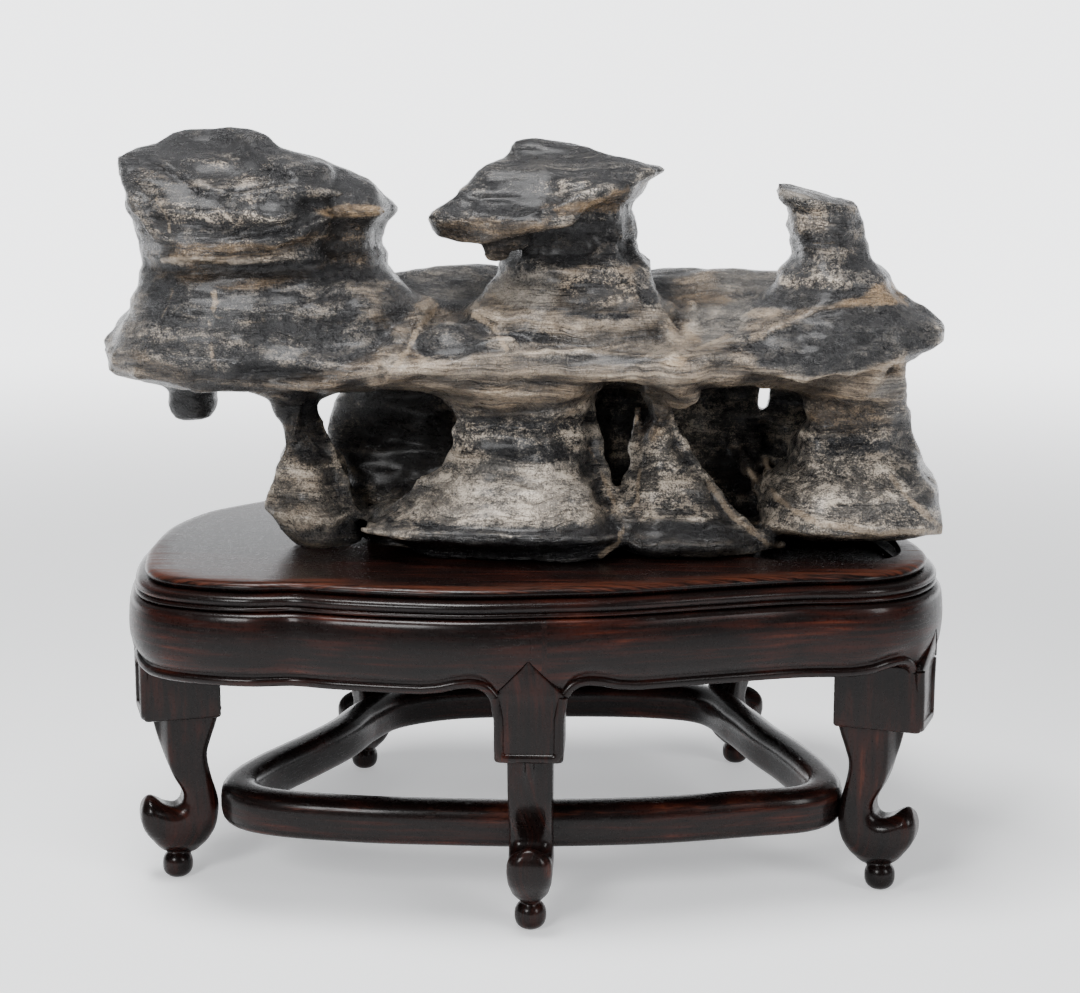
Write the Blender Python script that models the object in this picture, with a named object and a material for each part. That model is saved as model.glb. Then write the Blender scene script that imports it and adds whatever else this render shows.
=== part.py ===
"""A scholar's rock resting in its carved hardwood stand.

The stone is one piece: three water-worn towers on a shelf, carried by flaring
pillars with caves between them.  Its form is a smooth union of horizontally
bedded masses, sampled on a grid and wrapped in one skin.  The stand is a
shaped board with a socket, a waist moulding, five bulging aprons, five
cabriole legs with scrolled toes and ball feet, and a ring stretcher.

All sizes below are millimetres; X runs along the stone, -Y is the front,
Z is up and the ball feet stand on Z = 0.
"""
import math

import bmesh
import bpy
import numpy as np
from mathutils import Vector

MM = 0.001
FIT = 0.3                       # air left between neighbouring pieces

# Where the middle of the whole object lies in the working coordinates below.
CENTRE_X = -5.7
CENTRE_Y = 9.5

# ---------------------------------------------------------------- stand sizes
BOARD_TOP = 162.0
BOARD_EDGE_BOTTOM = 157.4
BOARD_CORE_BOTTOM = 146.0
BOARD_CORE_INSET = 15.0
WAIST_TOP = 157.1
WAIST_BOTTOM = 149.4
WAIST_PROUD = 5.0
WAIST_INNER = -13.5
APRON_TOP = 149.1
APRON_BOTTOM = 115.0
APRON_PROUD = 8.5
APRON_INNER = -5.0
SOCKET_FLOOR = 154.0
SOCKET_CLEARANCE = 2.4

LEG_BLOCK_BOTTOM = 83.0
LEG_BLOCK_HALF_WIDTH = 15.6
LEG_APEX = 131.0
LEG_POST_TOP = 145.6
POST_FRONT = -12.0              # the leg's post behind the aprons
POST_BACK = -20.9
POST_BOTTOM = 107.0
POST_HALF_WIDTH = 15.1
MITRE_TOOL_REACH = 60           # how far the grown block cuts past the apron's face
MITRE_SLOPE = 1.5               # the grown block's share of extra half width
MITRE_TIP = 0.3                 # half width of the block at its very top
LEG_SHAFT_HALF_WIDTH = 10.3
BALL_RADIUS = 7.5
BALL_SEGMENTS = 10
BALL_RINGS = 7
OUTLINE_POINTS = 58             # round the board
APRON_COLUMN = 21.0             # length of one apron facet
APRON_COLUMNS = 6               # at least
BEVEL = 1.6                     # rounded edge of the legs
BEVEL_WIDTH = 2.0
RING_POINTS = 40
RING_SIDES = 10
RING_HEIGHT = 21.0
RING_WIDTH = 19.0
RING_LEVEL = 41.5
RING_SQUARENESS = 0.75          # below 1 the ring's section is squarer than an ellipse
CURVE_STEPS = 12                # points between two points of a smooth curve
FINE_POINTS = 1200              # round the board, for measuring

# Ring stretcher centre line, counter-clockwise from the front middle.
RING_LINE = [
    (3, -100), (57, -94), (104, -82), (132, -73), (142, -56), (139, -30),
    (130, 2), (119, 32), (108, 68), (92, 108), (60, 121), (7, 122), (-34, 118),
    (-62, 110), (-86, 92), (-98, 66), (-106, 34), (-119, 2), (-135, -34),
    (-142, -62), (-137, -80), (-118, -91), (-78, -98), (-36, -100),
]

# Board outline, counter-clockwise from the front middle.
BOARD_OUTLINE = [
    (8, -136), (42, -130), (84, -116), (122, -104), (146, -101), (163, -96),
    (177, -84), (187, -64), (190, -42), (187, -12), (180, 22), (167, 64),
    (150, 112), (136, 142), (112, 155), (60, 152), (0, 143), (-60, 137),
    (-106, 134), (-134, 116), (-155, 86), (-170, 66), (-181, 46), (-189, 8),
    (-188, -40), (-184, -72), (-177, -100), (-165, -117), (-146, -126),
    (-124, -130), (-104, -128), (-84, -133), (-54, -138), (-24, -140),
]

# Each foot: name, ball centre and the way the leg faces, in degrees from -Y,
# turning towards +X.
LEGS = [
    ("front_centre", 2.5, -126.0, 0.0),
    ("front_right", 169.4, -67.0, 72.0),
    ("back_right", 109.4, 137.5, 146.0),
    ("back_left", -105.0, 117.5, -146.0),
    ("front_left", -174.6, -64.7, -72.0),
]

# Side profile of the shaft and foot: (outwards from the ball centre, height).
SHAFT_PROFILE = [
    (10.5, 88), (10, 80), (7, 68), (2, 54), (-2.5, 45), (-2.8, 40.5),
    (-1, 37.6), (1.5, 36.8), (6, 38.2), (10, 41.2), (13.6, 42.3), (16.6, 38.5),
    (17.6, 32.5), (16.4, 26.5), (12.5, 20.3), (6, 13.5), (-6, 11.8), (-13, 16.3),
    (-18, 24), (-20, 32), (-20, 40), (-16.5, 53), (-15, 63), (-17, 71),
    (-20, 80), (-20.5, 88),
]
BLOCK_INNER = -21.3             # back of the square block above the shaft
BLOCK_LEVELS = [                # (height, share of the apron's proud width)
    (LEG_BLOCK_BOTTOM, 0.7), (114.6, 0.74), (118, 0.66), (122, 0.76), (126, 0.9), (130.7, 0.97),
]

# ---------------------------------------------------------------- stone sizes
STONE_SEAT = SOCKET_FLOOR + FIT
STONE_ON_BOARD = BOARD_TOP + FIT
STONE_SCALE = 0.979             # the masses below are laid out at this scale
STONE_SHIFT = (1.0, -22.0, 7.6)
UNDERCUT_RISE = 2.6             # the stone lifts off the board round its socketed foot
UNDERCUT_REACH = 9.0
STONE_INSET = 1.6               # takes back what the fillets add
STONE_REACH = ((-232, 222), (-112, 82), (148, 376))
PLUG = (-86.0, 112.0, -52.0, 68.0)   # left, right, front, back of the socketed foot
POCKET = (96.0, 179.0, -68.0, 22.0)  # open end of the socket, on the board
PLUG_SQUARENESS = 0.625         # of the foot's and the socket's outline
PLUG_POINTS = 48
POCKET_SQUARENESS = 0.6
POCKET_POINTS = 28
POCKET_STEP = 0.02              # the pocket's floor lies this far below the socket's
CUTTER_RISE = 5.0               # the cutters stand this far above the board
STONE_STEP = 3.2                # grid step of the stone's form
STONE_TRIANGLES = 3900

# Masses of the stone.  A level is (height, left, right, front, back).
MASSES = {
    "west_skirt": dict(blend=8, power=2.5, lobes=((3, 0.03, 0.6),), levels=[
        (236, -182, -80, -42, 40), (241, -206, -66, -58, 52),
        (247, -217, -59, -65, 58), (255, -220, -56, -66, 60),
        (263, -219, -55, -61, 60), (271, -215, -56, -57, 57),
        (280, -208, -60, -53, 54), (288, -204, -74, -48, 50),
        (294, -201, -88, -43, 47), (299, -200, -93, -41, 46),
        (303, -197, -96, -46, 46), (308, -199, -97, -47, 47),
        (313, -202, -97, -43, 48)]),
    "west_lobe": dict(blend=3, power=2.4, lobes=(), levels=[
        (276, -120, -55, -34, 46), (284, -122, -60, -28, 46),
        (291, -122, -69, -22, 46), (298, -122, -75, -18, 44),
        (306, -122, -77, -17, 42), (314, -122, -76, -20, 42),
        (319, -122, -71, -23, 42), (324, -122, -68, -25, 42),
        (330, -124, -71, -24, 42), (337, -130, -79, -18, 40),
        (345, -142, -97, -8, 36), (353, -156, -117, 2, 30)]),
    "east_cone": dict(blend=10, power=2.1, lobes=((3, 0.05, 0.1),), levels=[
        (244, 98, 172, -36, 38), (249, 88, 186, -50, 44),
        (255, 84, 198, -52, 48), (261, 88, 205, -48, 50),
        (267, 93, 201, -41, 48), (274, 99, 190, -34, 46),
        (281, 106, 181, -29, 42), (288, 112, 174, -25, 38),
        (296, 119, 166, -20, 34), (303, 124, 159, -16, 30),
        (307, 122, 161, -17, 31), (312, 122, 158, -15, 29),
        (322, 121, 157, -14, 27), (330, 118, 157, -16, 26),
        (345, 117, 158, -17, 26)], cut=((136, 5, 334), (0.22, -0.14, 0.96))),
    "middle_cone": dict(blend=8, power=2.3, lobes=((2, 0.03, 0.5),), levels=[
        (258, -44, 68, -50, 48), (266, -38, 66, -46, 44),
        (273, -34, 65, -42, 42), (281, -30, 64, -38, 40),
        (289, -24, 62, -34, 38), (299, -18, 58, -29, 35),
        (307, -15, 54, -26, 32), (314, -14, 54, -25, 30),
        (318, -12, 51, -25, 30), (324, -10, 50, -27, 30),
        (331, -8, 53, -29, 30), (340, -4, 57, -30, 28)]),
    "left_pillar": dict(blend=10, power=2.3, lobes=((3, 0.05, 0.4),), levels=[
        (150, -118, -78, -22, 30), (158, -124, -80, -28, 32),
        (166, -136, -82, -31, 34), (175, -142, -86, -31, 34),
        (187, -138, -94, -25, 32), (200, -133, -100, -18, 28),
        (212, -130, -107, -12, 22), (221, -131, -110, -10, 20),
        (229, -138, -106, -14, 22), (240, -154, -92, -26, 32)]),
    "front_pillar": dict(blend=8, power=2.7, lobes=((3, 0.04, 2.4),), levels=[
        (150, -58, 44, -58, 30), (162, -66, 48, -63, 32),
        (167, -80, 48, -70, 32), (170, -86, 46, -76, 32),
        (174, -80, 45, -75, 30), (182, -71, 41, -67, 28),
        (191, -65, 38, -60, 25), (200, -58, 35, -54, 20),
        (213, -47, 31, -46, 18), (223, -43, 29, -44, 16),
        (231, -46, 30, -48, 16), (240, -58, 38, -57, 22)]),
    "mid_pillar": dict(blend=6, power=2.4, lobes=((3, 0.04, 1.0),), levels=[
        (150, 34, 118, -44, 40), (159, 34, 123, -52, 40),
        (164, 34, 115, -60, 38), (173, 38, 103, -55, 34),
        (185, 43, 91, -45, 30), (196, 47, 82, -37, 26),
        (210, 50, 70, -29, 22), (222, 52, 67, -26, 20),
        (232, 51, 73, -31, 22), (242, 44, 76, -38, 26)]),
    "east_pillar": dict(blend=8, power=2.6, lobes=(), levels=[
        (159, 134, 178, -16, 40), (163, 128, 190, -30, 44),
        (167, 116, 201, -45, 46), (172, 108, 203, -49, 47),
        (179, 112, 202, -45, 46), (190, 121, 197, -36, 44),
        (201, 128, 189, -27, 40), (210, 132, 184, -22, 36),
        (220, 135, 180, -19, 34), (229, 136, 176, -21, 33),
        (238, 134, 177, -31, 35), (246, 122, 180, -40, 40)]),
    "back_left_wall": dict(blend=10, power=2.6, lobes=((4, 0.04, 0.9),), levels=[
        (150, -92, -6, 4, 86), (175, -99, -12, 12, 84),
        (192, -106, -18, 22, 80), (208, -113, -28, 28, 77),
        (222, -108, -34, 30, 77), (236, -104, -30, 26, 80),
        (246, -112, -18, 18, 86)]),
    "back_right_wall": dict(blend=10, power=2.6, lobes=((4, 0.04, 0.2),), levels=[
        (150, 0, 122, 26, 86), (176, 2, 119, 36, 86),
        (204, 4, 116, 42, 82), (226, 4, 116, 44, 82),
        (240, 0, 118, 38, 84), (248, -4, 126, 32, 88)]),
    "back_east_pillar": dict(blend=8, power=2.3, lobes=((3, 0.05, 0.0),), levels=[
        (158, 118, 178, 22, 72), (172, 112, 190, 28, 76),
        (198, 113, 188, 34, 74), (218, 116, 186, 38, 72),
        (233, 122, 181, 38, 70), (246, 118, 184, 34, 74)]),
    "stub": dict(blend=6, power=2.8, lobes=(), levels=[
        (216.5, -190, -170, 8, 32), (223, -193, -168, 6, 35),
        (229, -195, -166, 4, 37), (240, -206, -156, -4, 42)]),
}

# Faceted masses: every facet is a point on it and the way it faces.
FACETED = {
    "west_cap": dict(blend=4, soft=7, facets=[
        ((-150, -46, 334), (-0.04, -0.52, 0.85)),
        ((-200, 5, 358), (-0.27, -0.05, 0.96)),
        ((-120, 14, 354), (0.42, 0.05, 0.91)),
        ((-150, 38, 356), (0.05, 0.45, 0.89)),
        ((-150, -50, 322), (-0.05, -0.98, -0.12)),
        ((-192, -34, 330), (-0.72, -0.68, -0.05)),
        ((-209, 0, 346), (-0.98, 0.0, -0.12)),
        ((-102, -30, 326), (0.72, -0.69, 0.05)),
        ((-97, 0, 320), (1.0, 0.1, 0.0)),
        ((-150, 50, 320), (0.0, 1.0, -0.05)),
        ((-190, 42, 330), (-0.7, 0.7, 0.0)),
        ((-150, 0, 306), (0.0, 0.0, -1.0))]),
    "middle_cap": dict(blend=3, soft=5, facets=[
        ((0, -46, 324), (-0.03, -0.52, 0.85)),
        ((-34, 0, 339), (-0.68, 0.0, 0.73)),
        ((36, 0, 354), (0.26, 0.0, 0.965)),
        ((0, 18, 359), (0.0, 0.42, 0.91)),
        ((0, 40, 335), (0.0, 0.97, -0.2)),
        ((0, -49, 320), (0.0, -0.97, -0.25)),
        ((36, -30, 330), (0.6, -0.8, -0.1)),
        ((-47, -24, 316), (-0.7, -0.7, 0.0)),
        ((-53, 0, 316), (-0.9, 0.0, -0.43)),
        ((-30, 0, 303), (0.27, 0.12, -0.95)),
        ((60, 0, 338), (0.8, 0.0, -0.6)),
        ((40, 34, 340), (0.6, 0.8, 0.0))]),
    "shelf": dict(blend=9, soft=10, facets=[
        ((0, -60, 257), (0.0, -0.27, 0.96)),
        ((0, -60, 240), (0.0, -0.1, -0.99)),
        ((0, -64, 250), (0.05, -1.0, 0.0)),
        ((-106, 0, 250), (-1.0, 0.0, 0.0)),
        ((76, -58, 250), (0.5, -0.86, 0.0)),
        ((178, 30, 250), (1.0, 0.0, 0.0)),
        ((160, 70, 250), (0.7, 0.7, 0.0)),
        ((0, 90, 250), (0.0, 1.0, 0.0)),
        ((-92, 72, 250), (-0.7, 0.7, 0.0)),
        ((0, 60, 293), (0.0, 0.25, 0.97))]),
}

# Small rounded lumps and the caves: centre and half sizes.
LUMPS = [
    ((-17, -20, 301), (7, 7, 7), 4),
    ((-40, 62, 281), (32, 26, 14), 12),
    ((92, 58, 279), (50, 30, 13), 12),
    ((-38, -36, 261), (22, 15, 13), 10),
    ((-14, -48, 263), (13, 8, 6), 5),
    ((70, -34, 236), (9, 9, 8), 6),
]
CAVES = [
    ((40, -30, 232), (13, 34, 13), 5),
    ((42, -40, 212), (7, 26, 18), 5),
    ((96, 6, 224), (19, 34, 22), 8),
    ((120, 60, 236), (4, 50, 5), 3),
    ((-60, -6, 212), (20, 26, 34), 8),
]

WARP = [                        # (size, wavelength, direction, phase)
    (2.6, 92, (0.8, 0.3, 0.5), 0.4),
    (1.8, 57, (-0.4, 0.8, 0.45), 2.1),
    (1.2, 38, (0.3, -0.6, 0.75), 4.0),
    (0.8, 26, (0.7, 0.6, -0.4), 1.2),
]
BEDDING = [(0.9, 21.0, 0.3), (0.6, 11.5, 1.9)]   # (relief, spacing, phase)
LEVEL_SMOOTHING = 2.2           # how far one level of a mass runs into the next
LEVEL_REACH = 6
END_SOFTNESS = 5.0              # rounding of a mass at its top and bottom
CUT_SOFTNESS = 3.0              # rounding where a facet cuts a mass
TINY = 1e-4
PINCH_FILL = 0.05
PINCH_ROUNDS = 20


def smooth_min(first, second, radius):
    """Union of two distances, filleted over the radius."""
    share = np.clip(0.5 + 0.5 * (second - first) / radius, 0.0, 1.0)
    return second + (first - second) * share - radius * share * (1.0 - share)


def smooth_max(first, second, radius):
    return -smooth_min(-first, -second, radius)


def bedded_mass(x, y, z, levels, power, lobes):
    """Distance to a mass whose plan changes from level to level."""
    table = np.array(levels, dtype=float)
    heights = np.arange(table[0, 0], table[-1, 0] + 0.5, 1.0)
    kernel = np.exp(-0.5 * (np.arange(-LEVEL_REACH, LEVEL_REACH + 1) / LEVEL_SMOOTHING) ** 2)
    kernel /= kernel.sum()
    edges = []
    for column in range(1, 5):
        values = np.interp(heights, table[:, 0], table[:, column])
        padded = np.pad(values, LEVEL_REACH, mode="edge")
        edges.append(np.interp(z, heights, np.convolve(padded, kernel, "valid")))
    left, right, front, back = edges
    from_x = x - 0.5 * (left + right)
    from_y = y - 0.5 * (front + back)
    along = np.abs(from_x) / (0.5 * (right - left))
    across = np.abs(from_y) / (0.5 * (back - front))
    ratio = (along ** power + across ** power) ** (1.0 / power) + TINY
    if lobes:
        angle = np.arctan2(from_y, from_x)
        swell = 1.0
        for count, size, phase in lobes:
            swell = swell + size * np.cos(count * angle - phase)
        ratio = ratio / swell
    reach = np.hypot(from_x, from_y)
    side = reach * (1.0 - 1.0 / ratio)
    ends = np.maximum(z - table[-1, 0], table[0, 0] - z)
    return smooth_max(side, ends, END_SOFTNESS)


def facet(x, y, z, point, facing):
    """Distance to a flat facet through a point."""
    nx, ny, nz = Vector(facing).normalized()
    return (x - point[0]) * nx + (y - point[1]) * ny + (z - point[2]) * nz


def faceted_mass(x, y, z, facets, soft):
    """Distance to a block cut by flat facets, its edges rounded over soft."""
    block = None
    for point, facing in facets:
        plane = facet(x, y, z, point, facing)
        block = plane if block is None else smooth_max(block, plane, soft)
    return block


def lump(x, y, z, centre, half_sizes):
    """Distance to an ellipsoid."""
    parts = [(a - c) / h for a, c, h in zip((x, y, z), centre, half_sizes)]
    ratio = np.sqrt(sum(part * part for part in parts)) + TINY
    return (ratio - 1.0) * min(half_sizes)


def stone_form(x, y, z):
    """Signed distance (mm, negative inside) to the whole stone."""
    x = (x - STONE_SHIFT[0]) / STONE_SCALE
    y = (y - STONE_SHIFT[1]) / STONE_SCALE
    z = (z - STONE_SHIFT[2]) / STONE_SCALE
    wx, wy = x, y
    for size, wave, (dx, dy, dz), phase in WARP:
        swing = (x * dx + y * dy + z * dz) * math.tau / wave + phase
        wx = wx + 0.7 * size * np.sin(swing)
        wy = wy + size * np.cos(swing)
    bed = z + 0.03 * x - 0.04 * y
    relief = sum(size * np.sin(bed * math.tau / gap + phase) for size, gap, phase in BEDDING)
    form = None
    for mass in MASSES.values():
        part = bedded_mass(wx, wy, z, mass["levels"], mass["power"], mass["lobes"])
        if "cut" in mass:
            part = smooth_max(part, facet(wx, wy, z, *mass["cut"]), CUT_SOFTNESS)
        form = part if form is None else smooth_min(form, part, mass["blend"])
    for mass in FACETED.values():
        part = faceted_mass(wx, wy, z, mass["facets"], mass["soft"])
        form = smooth_min(form, part, mass["blend"])
    for centre, half_sizes, blend in LUMPS:
        form = smooth_min(form, lump(wx, wy, z, centre, half_sizes), blend)
    for centre, half_sizes, blend in CAVES:
        form = smooth_max(form, -lump(wx, wy, z, centre, half_sizes), blend)
    return (form - relief + STONE_INSET) * STONE_SCALE


def plug_distance(x, y):
    """Distance to the rounded outline of the foot that sits in the socket."""
    left, right, front, back = PLUG
    along = np.abs(x - 0.5 * (left + right)) / (0.5 * (right - left))
    across = np.abs(y - 0.5 * (front + back)) / (0.5 * (back - front))
    power = 2.0 / PLUG_SQUARENESS
    ratio = (along ** power + across ** power) ** (1.0 / power)
    return (ratio - 1.0) * 0.5 * (back - front)


def seated_form(x, y, z):
    """The stone cut flat: on the board, and lower where its foot is socketed."""
    from_plug = plug_distance(x, y)
    undercut = UNDERCUT_RISE * np.clip(1.0 - from_plug / UNDERCUT_REACH, 0.0, 1.0)
    off_board = np.minimum(STONE_ON_BOARD + undercut - z, from_plug)
    return np.maximum(stone_form(x, y, z), np.maximum(off_board, STONE_SEAT - z))


# ------------------------------------------------------------ skin of a form
def corner_views(grid, axes):
    """Views of a grid's cell corners along the given axes."""
    views = {}
    for bits in np.ndindex(*(2,) * len(axes)):
        window = [slice(None)] * 3
        for axis, bit in zip(axes, bits):
            window[axis] = slice(1, None) if bit else slice(None, -1)
        views[bits] = grid[tuple(window)]
    return views


def close_pinches(field):
    """Fill grid points where the skin would touch itself along an edge or at a point."""
    for _ in range(PINCH_ROUNDS):
        filled = 0
        inside = field < 0.0
        for axes in ((0, 1), (0, 2), (1, 2), (0, 1, 2)):
            corner, value = corner_views(inside, axes), corner_views(field, axes)
            total = sum(view.astype(int) for view in corner.values())
            for bits in corner:
                other = tuple(1 - bit for bit in bits)
                pinch = corner[bits] & corner[other] & (total == 2)
                if len(axes) == 3:
                    hollow = ~corner[bits] & ~corner[other] & (total == 6)
                    value[bits][hollow] = -PINCH_FILL
                    filled += int(hollow.sum())
                beside = (1 - bits[0], *bits[1:])
                value[beside][pinch] = -PINCH_FILL
                filled += int(pinch.sum())
        if not filled:
            return


def wrap_form(form, reach, step):
    """Vertices and quads of the surface where the form crosses zero."""
    axes = [np.arange(low, high + step, step) for low, high in reach]
    x, y, z = np.meshgrid(*axes, indexing="ij")
    field = form(x, y, z)
    close_pinches(field)
    inside = field < 0.0
    count = np.zeros([n - 1 for n in field.shape], dtype=int)
    for i in (0, 1):
        for j in (0, 1):
            for k in (0, 1):
                count += inside[i:i + count.shape[0], j:j + count.shape[1],
                                k:k + count.shape[2]]
    cells = np.argwhere((count > 0) & (count < 8))
    number = np.full(count.shape, -1)
    number[tuple(cells.T)] = np.arange(len(cells))
    total = np.zeros((len(cells), 3))
    hits = np.zeros(len(cells))
    for axis in range(3):
        others = [a for a in range(3) if a != axis]
        for first in (0, 1):
            for second in (0, 1):
                start = cells.copy()
                start[:, others[0]] += first
                start[:, others[1]] += second
                end = start.copy()
                end[:, axis] += 1
                a = field[tuple(start.T)]
                b = field[tuple(end.T)]
                crossed = (a < 0.0) != (b < 0.0)
                share = np.where(crossed, a / np.where(crossed, a - b, 1.0), 0.0)
                point = start.astype(float)
                point[:, axis] += share
                total += point * crossed[:, None]
                hits += crossed
    low = np.array([axis[0] for axis in axes])
    vertices = low + total / hits[:, None] * step
    quads = []
    for axis in range(3):
        first, second = [(axis + 1) % 3, (axis + 2) % 3]
        near = np.take(inside, range(field.shape[axis] - 1), axis)
        far = np.take(inside, range(1, field.shape[axis]), axis)
        for edges, turned in ((np.argwhere(near & ~far), False), (np.argwhere(~near & far), True)):
            corners = []
            for back_first, back_second in ((1, 1), (0, 1), (0, 0), (1, 0)):
                cell = edges.copy()
                cell[:, first] -= back_first
                cell[:, second] -= back_second
                corners.append(number[tuple(cell.T)])
            if turned:
                corners.reverse()
            quads.append(np.stack(corners, axis=1))
    return vertices, np.concatenate(quads)


def largest_skin(mesh_data):
    """Keep only the biggest connected surface."""
    unseen = set(mesh_data.verts)
    groups = []
    while unseen:
        stack = [unseen.pop()]
        group = list(stack)
        while stack:
            for edge in stack.pop().link_edges:
                for vertex in edge.verts:
                    if vertex in unseen:
                        unseen.remove(vertex)
                        stack.append(vertex)
                        group.append(vertex)
        groups.append(group)
    groups.sort(key=len)
    for group in groups[:-1]:
        bmesh.ops.delete(mesh_data, geom=group, context="VERTS")


# --------------------------------------------------------------- scene tools
def clear_scene():
    for item in list(bpy.data.objects):
        bpy.data.objects.remove(item, do_unlink=True)


def material(name, colour, roughness, metallic=0.0):
    made = bpy.data.materials.new(name)
    made.use_nodes = True
    shader = made.node_tree.nodes["Principled BSDF"]
    shader.inputs["Base Color"].default_value = (*colour, 1.0)
    shader.inputs["Roughness"].default_value = roughness
    shader.inputs["Metallic"].default_value = metallic
    return made


def add_object(name, mesh_data, finish):
    """Make an object from a bmesh in millimetres."""
    bmesh.ops.recalc_face_normals(mesh_data, faces=mesh_data.faces)
    shift = Vector((-CENTRE_X, -CENTRE_Y, 0.0))
    for vertex in mesh_data.verts:
        vertex.co = (vertex.co + shift) * MM
    mesh = bpy.data.meshes.new(name)
    mesh_data.to_mesh(mesh)
    mesh_data.free()
    mesh.materials.append(finish)
    made = bpy.data.objects.new(name, mesh)
    bpy.context.collection.objects.link(made)
    return made


def add_boolean(target, tool, operation):
    """Join or cut with another object, which stays as a hidden guide."""
    cut = target.modifiers.new(operation.lower(), "BOOLEAN")
    cut.operation = operation
    cut.object = tool
    tool.hide_render = True
    tool.display_type = "WIRE"


# -------------------------------------------------------------------- curves
def smooth_closed(points, count):
    """Even points along a closed Catmull-Rom curve."""
    dense = []
    total = len(points)
    for i in range(total):
        p0, p1, p2, p3 = (Vector(points[(i + k - 1) % total]) for k in range(4))
        for step in range(CURVE_STEPS):
            t = step / CURVE_STEPS
            dense.append(0.5 * (2 * p1 + (p2 - p0) * t
                                + (2 * p0 - 5 * p1 + 4 * p2 - p3) * t * t
                                + (3 * p1 - p0 - 3 * p2 + p3) * t ** 3))
    return spaced(dense, count)


def spaced(dense, count):
    """Resample a closed polyline at equal distances."""
    loop = np.array([tuple(p) for p in dense] + [tuple(dense[0])])
    lengths = np.linalg.norm(np.diff(loop, axis=0), axis=1)
    travelled = np.concatenate([[0.0], np.cumsum(lengths)])
    marks = np.linspace(0.0, travelled[-1], count, endpoint=False)
    return np.stack([np.interp(marks, travelled, loop[:, k]) for k in (0, 1)], axis=1)


def outward(points):
    """Outward normals of a counter-clockwise closed polyline."""
    tangent = np.roll(points, -1, axis=0) - np.roll(points, 1, axis=0)
    normal = np.stack([tangent[:, 1], -tangent[:, 0]], axis=1)
    return normal / np.linalg.norm(normal, axis=1)[:, None]


def offset_loop(points, distance):
    return points + outward(points) * distance


# ------------------------------------------------------------ lofted solids
def loft(loops, closed_stack=False):
    """A solid through equal loops of points; the ends are capped."""
    mesh_data = bmesh.new()
    rings = [[mesh_data.verts.new(p) for p in loop] for loop in loops]
    pairs = list(zip(rings, rings[1:]))
    if closed_stack:
        pairs.append((rings[-1], rings[0]))
    for lower, upper in pairs:
        count = len(lower)
        for i in range(count):
            j = (i + 1) % count
            mesh_data.faces.new((lower[i], lower[j], upper[j], upper[i]))
    if not closed_stack:
        mesh_data.faces.new(rings[0][::-1])
        mesh_data.faces.new(rings[-1])
    return mesh_data


def at_height(points, height):
    return [(x, y, height) for x, y in points]


def make_stone(finish):
    vertices, quads = wrap_form(seated_form, STONE_REACH, STONE_STEP)
    mesh = bpy.data.meshes.new("stone_skin")
    mesh.from_pydata(vertices.tolist(), [], quads.tolist())
    mesh_data = bmesh.new()
    mesh_data.from_mesh(mesh)
    bpy.data.meshes.remove(mesh)
    largest_skin(mesh_data)
    triangles = 2 * len(mesh_data.faces)
    stone = add_object("stone", mesh_data, finish)
    thin = stone.modifiers.new("thin", "DECIMATE")
    thin.ratio = STONE_TRIANGLES / triangles
    return stone


# --------------------------------------------------------------------- stand
BOARD_PROFILE = [               # (offset from the outline, height)
    (-2.6, BOARD_TOP), (-0.8, BOARD_TOP - 0.6), (0.0, BOARD_TOP - 2.0),
    (-0.4, BOARD_TOP - 3.4), (-1.8, BOARD_EDGE_BOTTOM),
]


def rounded_oblong(left, right, front, back, squareness, count):
    """A rounded oblong outline between four sides."""
    loop = []
    for i in range(count):
        c = math.cos(math.tau * i / count)
        s = math.sin(math.tau * i / count)
        reach_x = 0.5 * (right - left) * math.copysign(abs(c) ** squareness, c)
        reach_y = 0.5 * (back - front) * math.copysign(abs(s) ** squareness, s)
        loop.append((0.5 * (left + right) + reach_x, 0.5 * (front + back) + reach_y))
    return loop


def socket_outline():
    """The outline of the stone's foot with room round it."""
    left, right, front, back = PLUG
    room = SOCKET_CLEARANCE
    return rounded_oblong(left - room, right + room, front - room, back + room,
                          PLUG_SQUARENESS, PLUG_POINTS)


def make_board(outline, finish):
    core = offset_loop(outline, -BOARD_CORE_INSET)
    loops = [at_height(core, BOARD_CORE_BOTTOM), at_height(core, BOARD_EDGE_BOTTOM)]
    for offset, height in reversed(BOARD_PROFILE):
        loops.append(at_height(offset_loop(outline, offset), height))
    board = add_object("top_board", loft(loops), finish)
    pocket = rounded_oblong(*POCKET, POCKET_SQUARENESS, POCKET_POINTS)
    for name, loop, floor in (("socket_cutter", socket_outline(), SOCKET_FLOOR),
                              ("pocket_cutter", pocket, SOCKET_FLOOR - POCKET_STEP)):
        levels = [at_height(loop, floor), at_height(loop, BOARD_TOP + CUTTER_RISE)]
        add_boolean(board, add_object(name, loft(levels), finish), "DIFFERENCE")
    return board


WAIST_PROFILE = [               # (share of the proud width, height)
    (-0.1, WAIST_TOP), (0.9, WAIST_TOP - 2.4), (0.95, WAIST_TOP - 4.6),
    (0.65, WAIST_TOP - 5.6), (0.95, WAIST_BOTTOM),
]


def make_waist(outline, finish):
    loops = [at_height(offset_loop(outline, share * WAIST_PROUD), height)
             for share, height in WAIST_PROFILE]
    inner = offset_loop(outline, WAIST_INNER - FIT)
    loops.append(at_height(inner, WAIST_BOTTOM))
    loops.append(at_height(inner, WAIST_TOP))
    return add_object("waist_moulding", loft(loops, closed_stack=True), finish)


APRON_PROFILE = [               # (share of the proud width, height)
    (0.66, APRON_TOP), (0.92, 143), (1.0, 134), (0.86, 125),
    (0.6, 120), (0.9, 118), (0.72, APRON_BOTTOM),
]


def leg_frame(leg):
    name, x, y, degrees = leg
    angle = math.radians(degrees)
    facing = Vector((math.sin(angle), -math.cos(angle)))
    side = Vector((math.cos(angle), math.sin(angle)))
    return Vector((x, y)), facing, side


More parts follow.
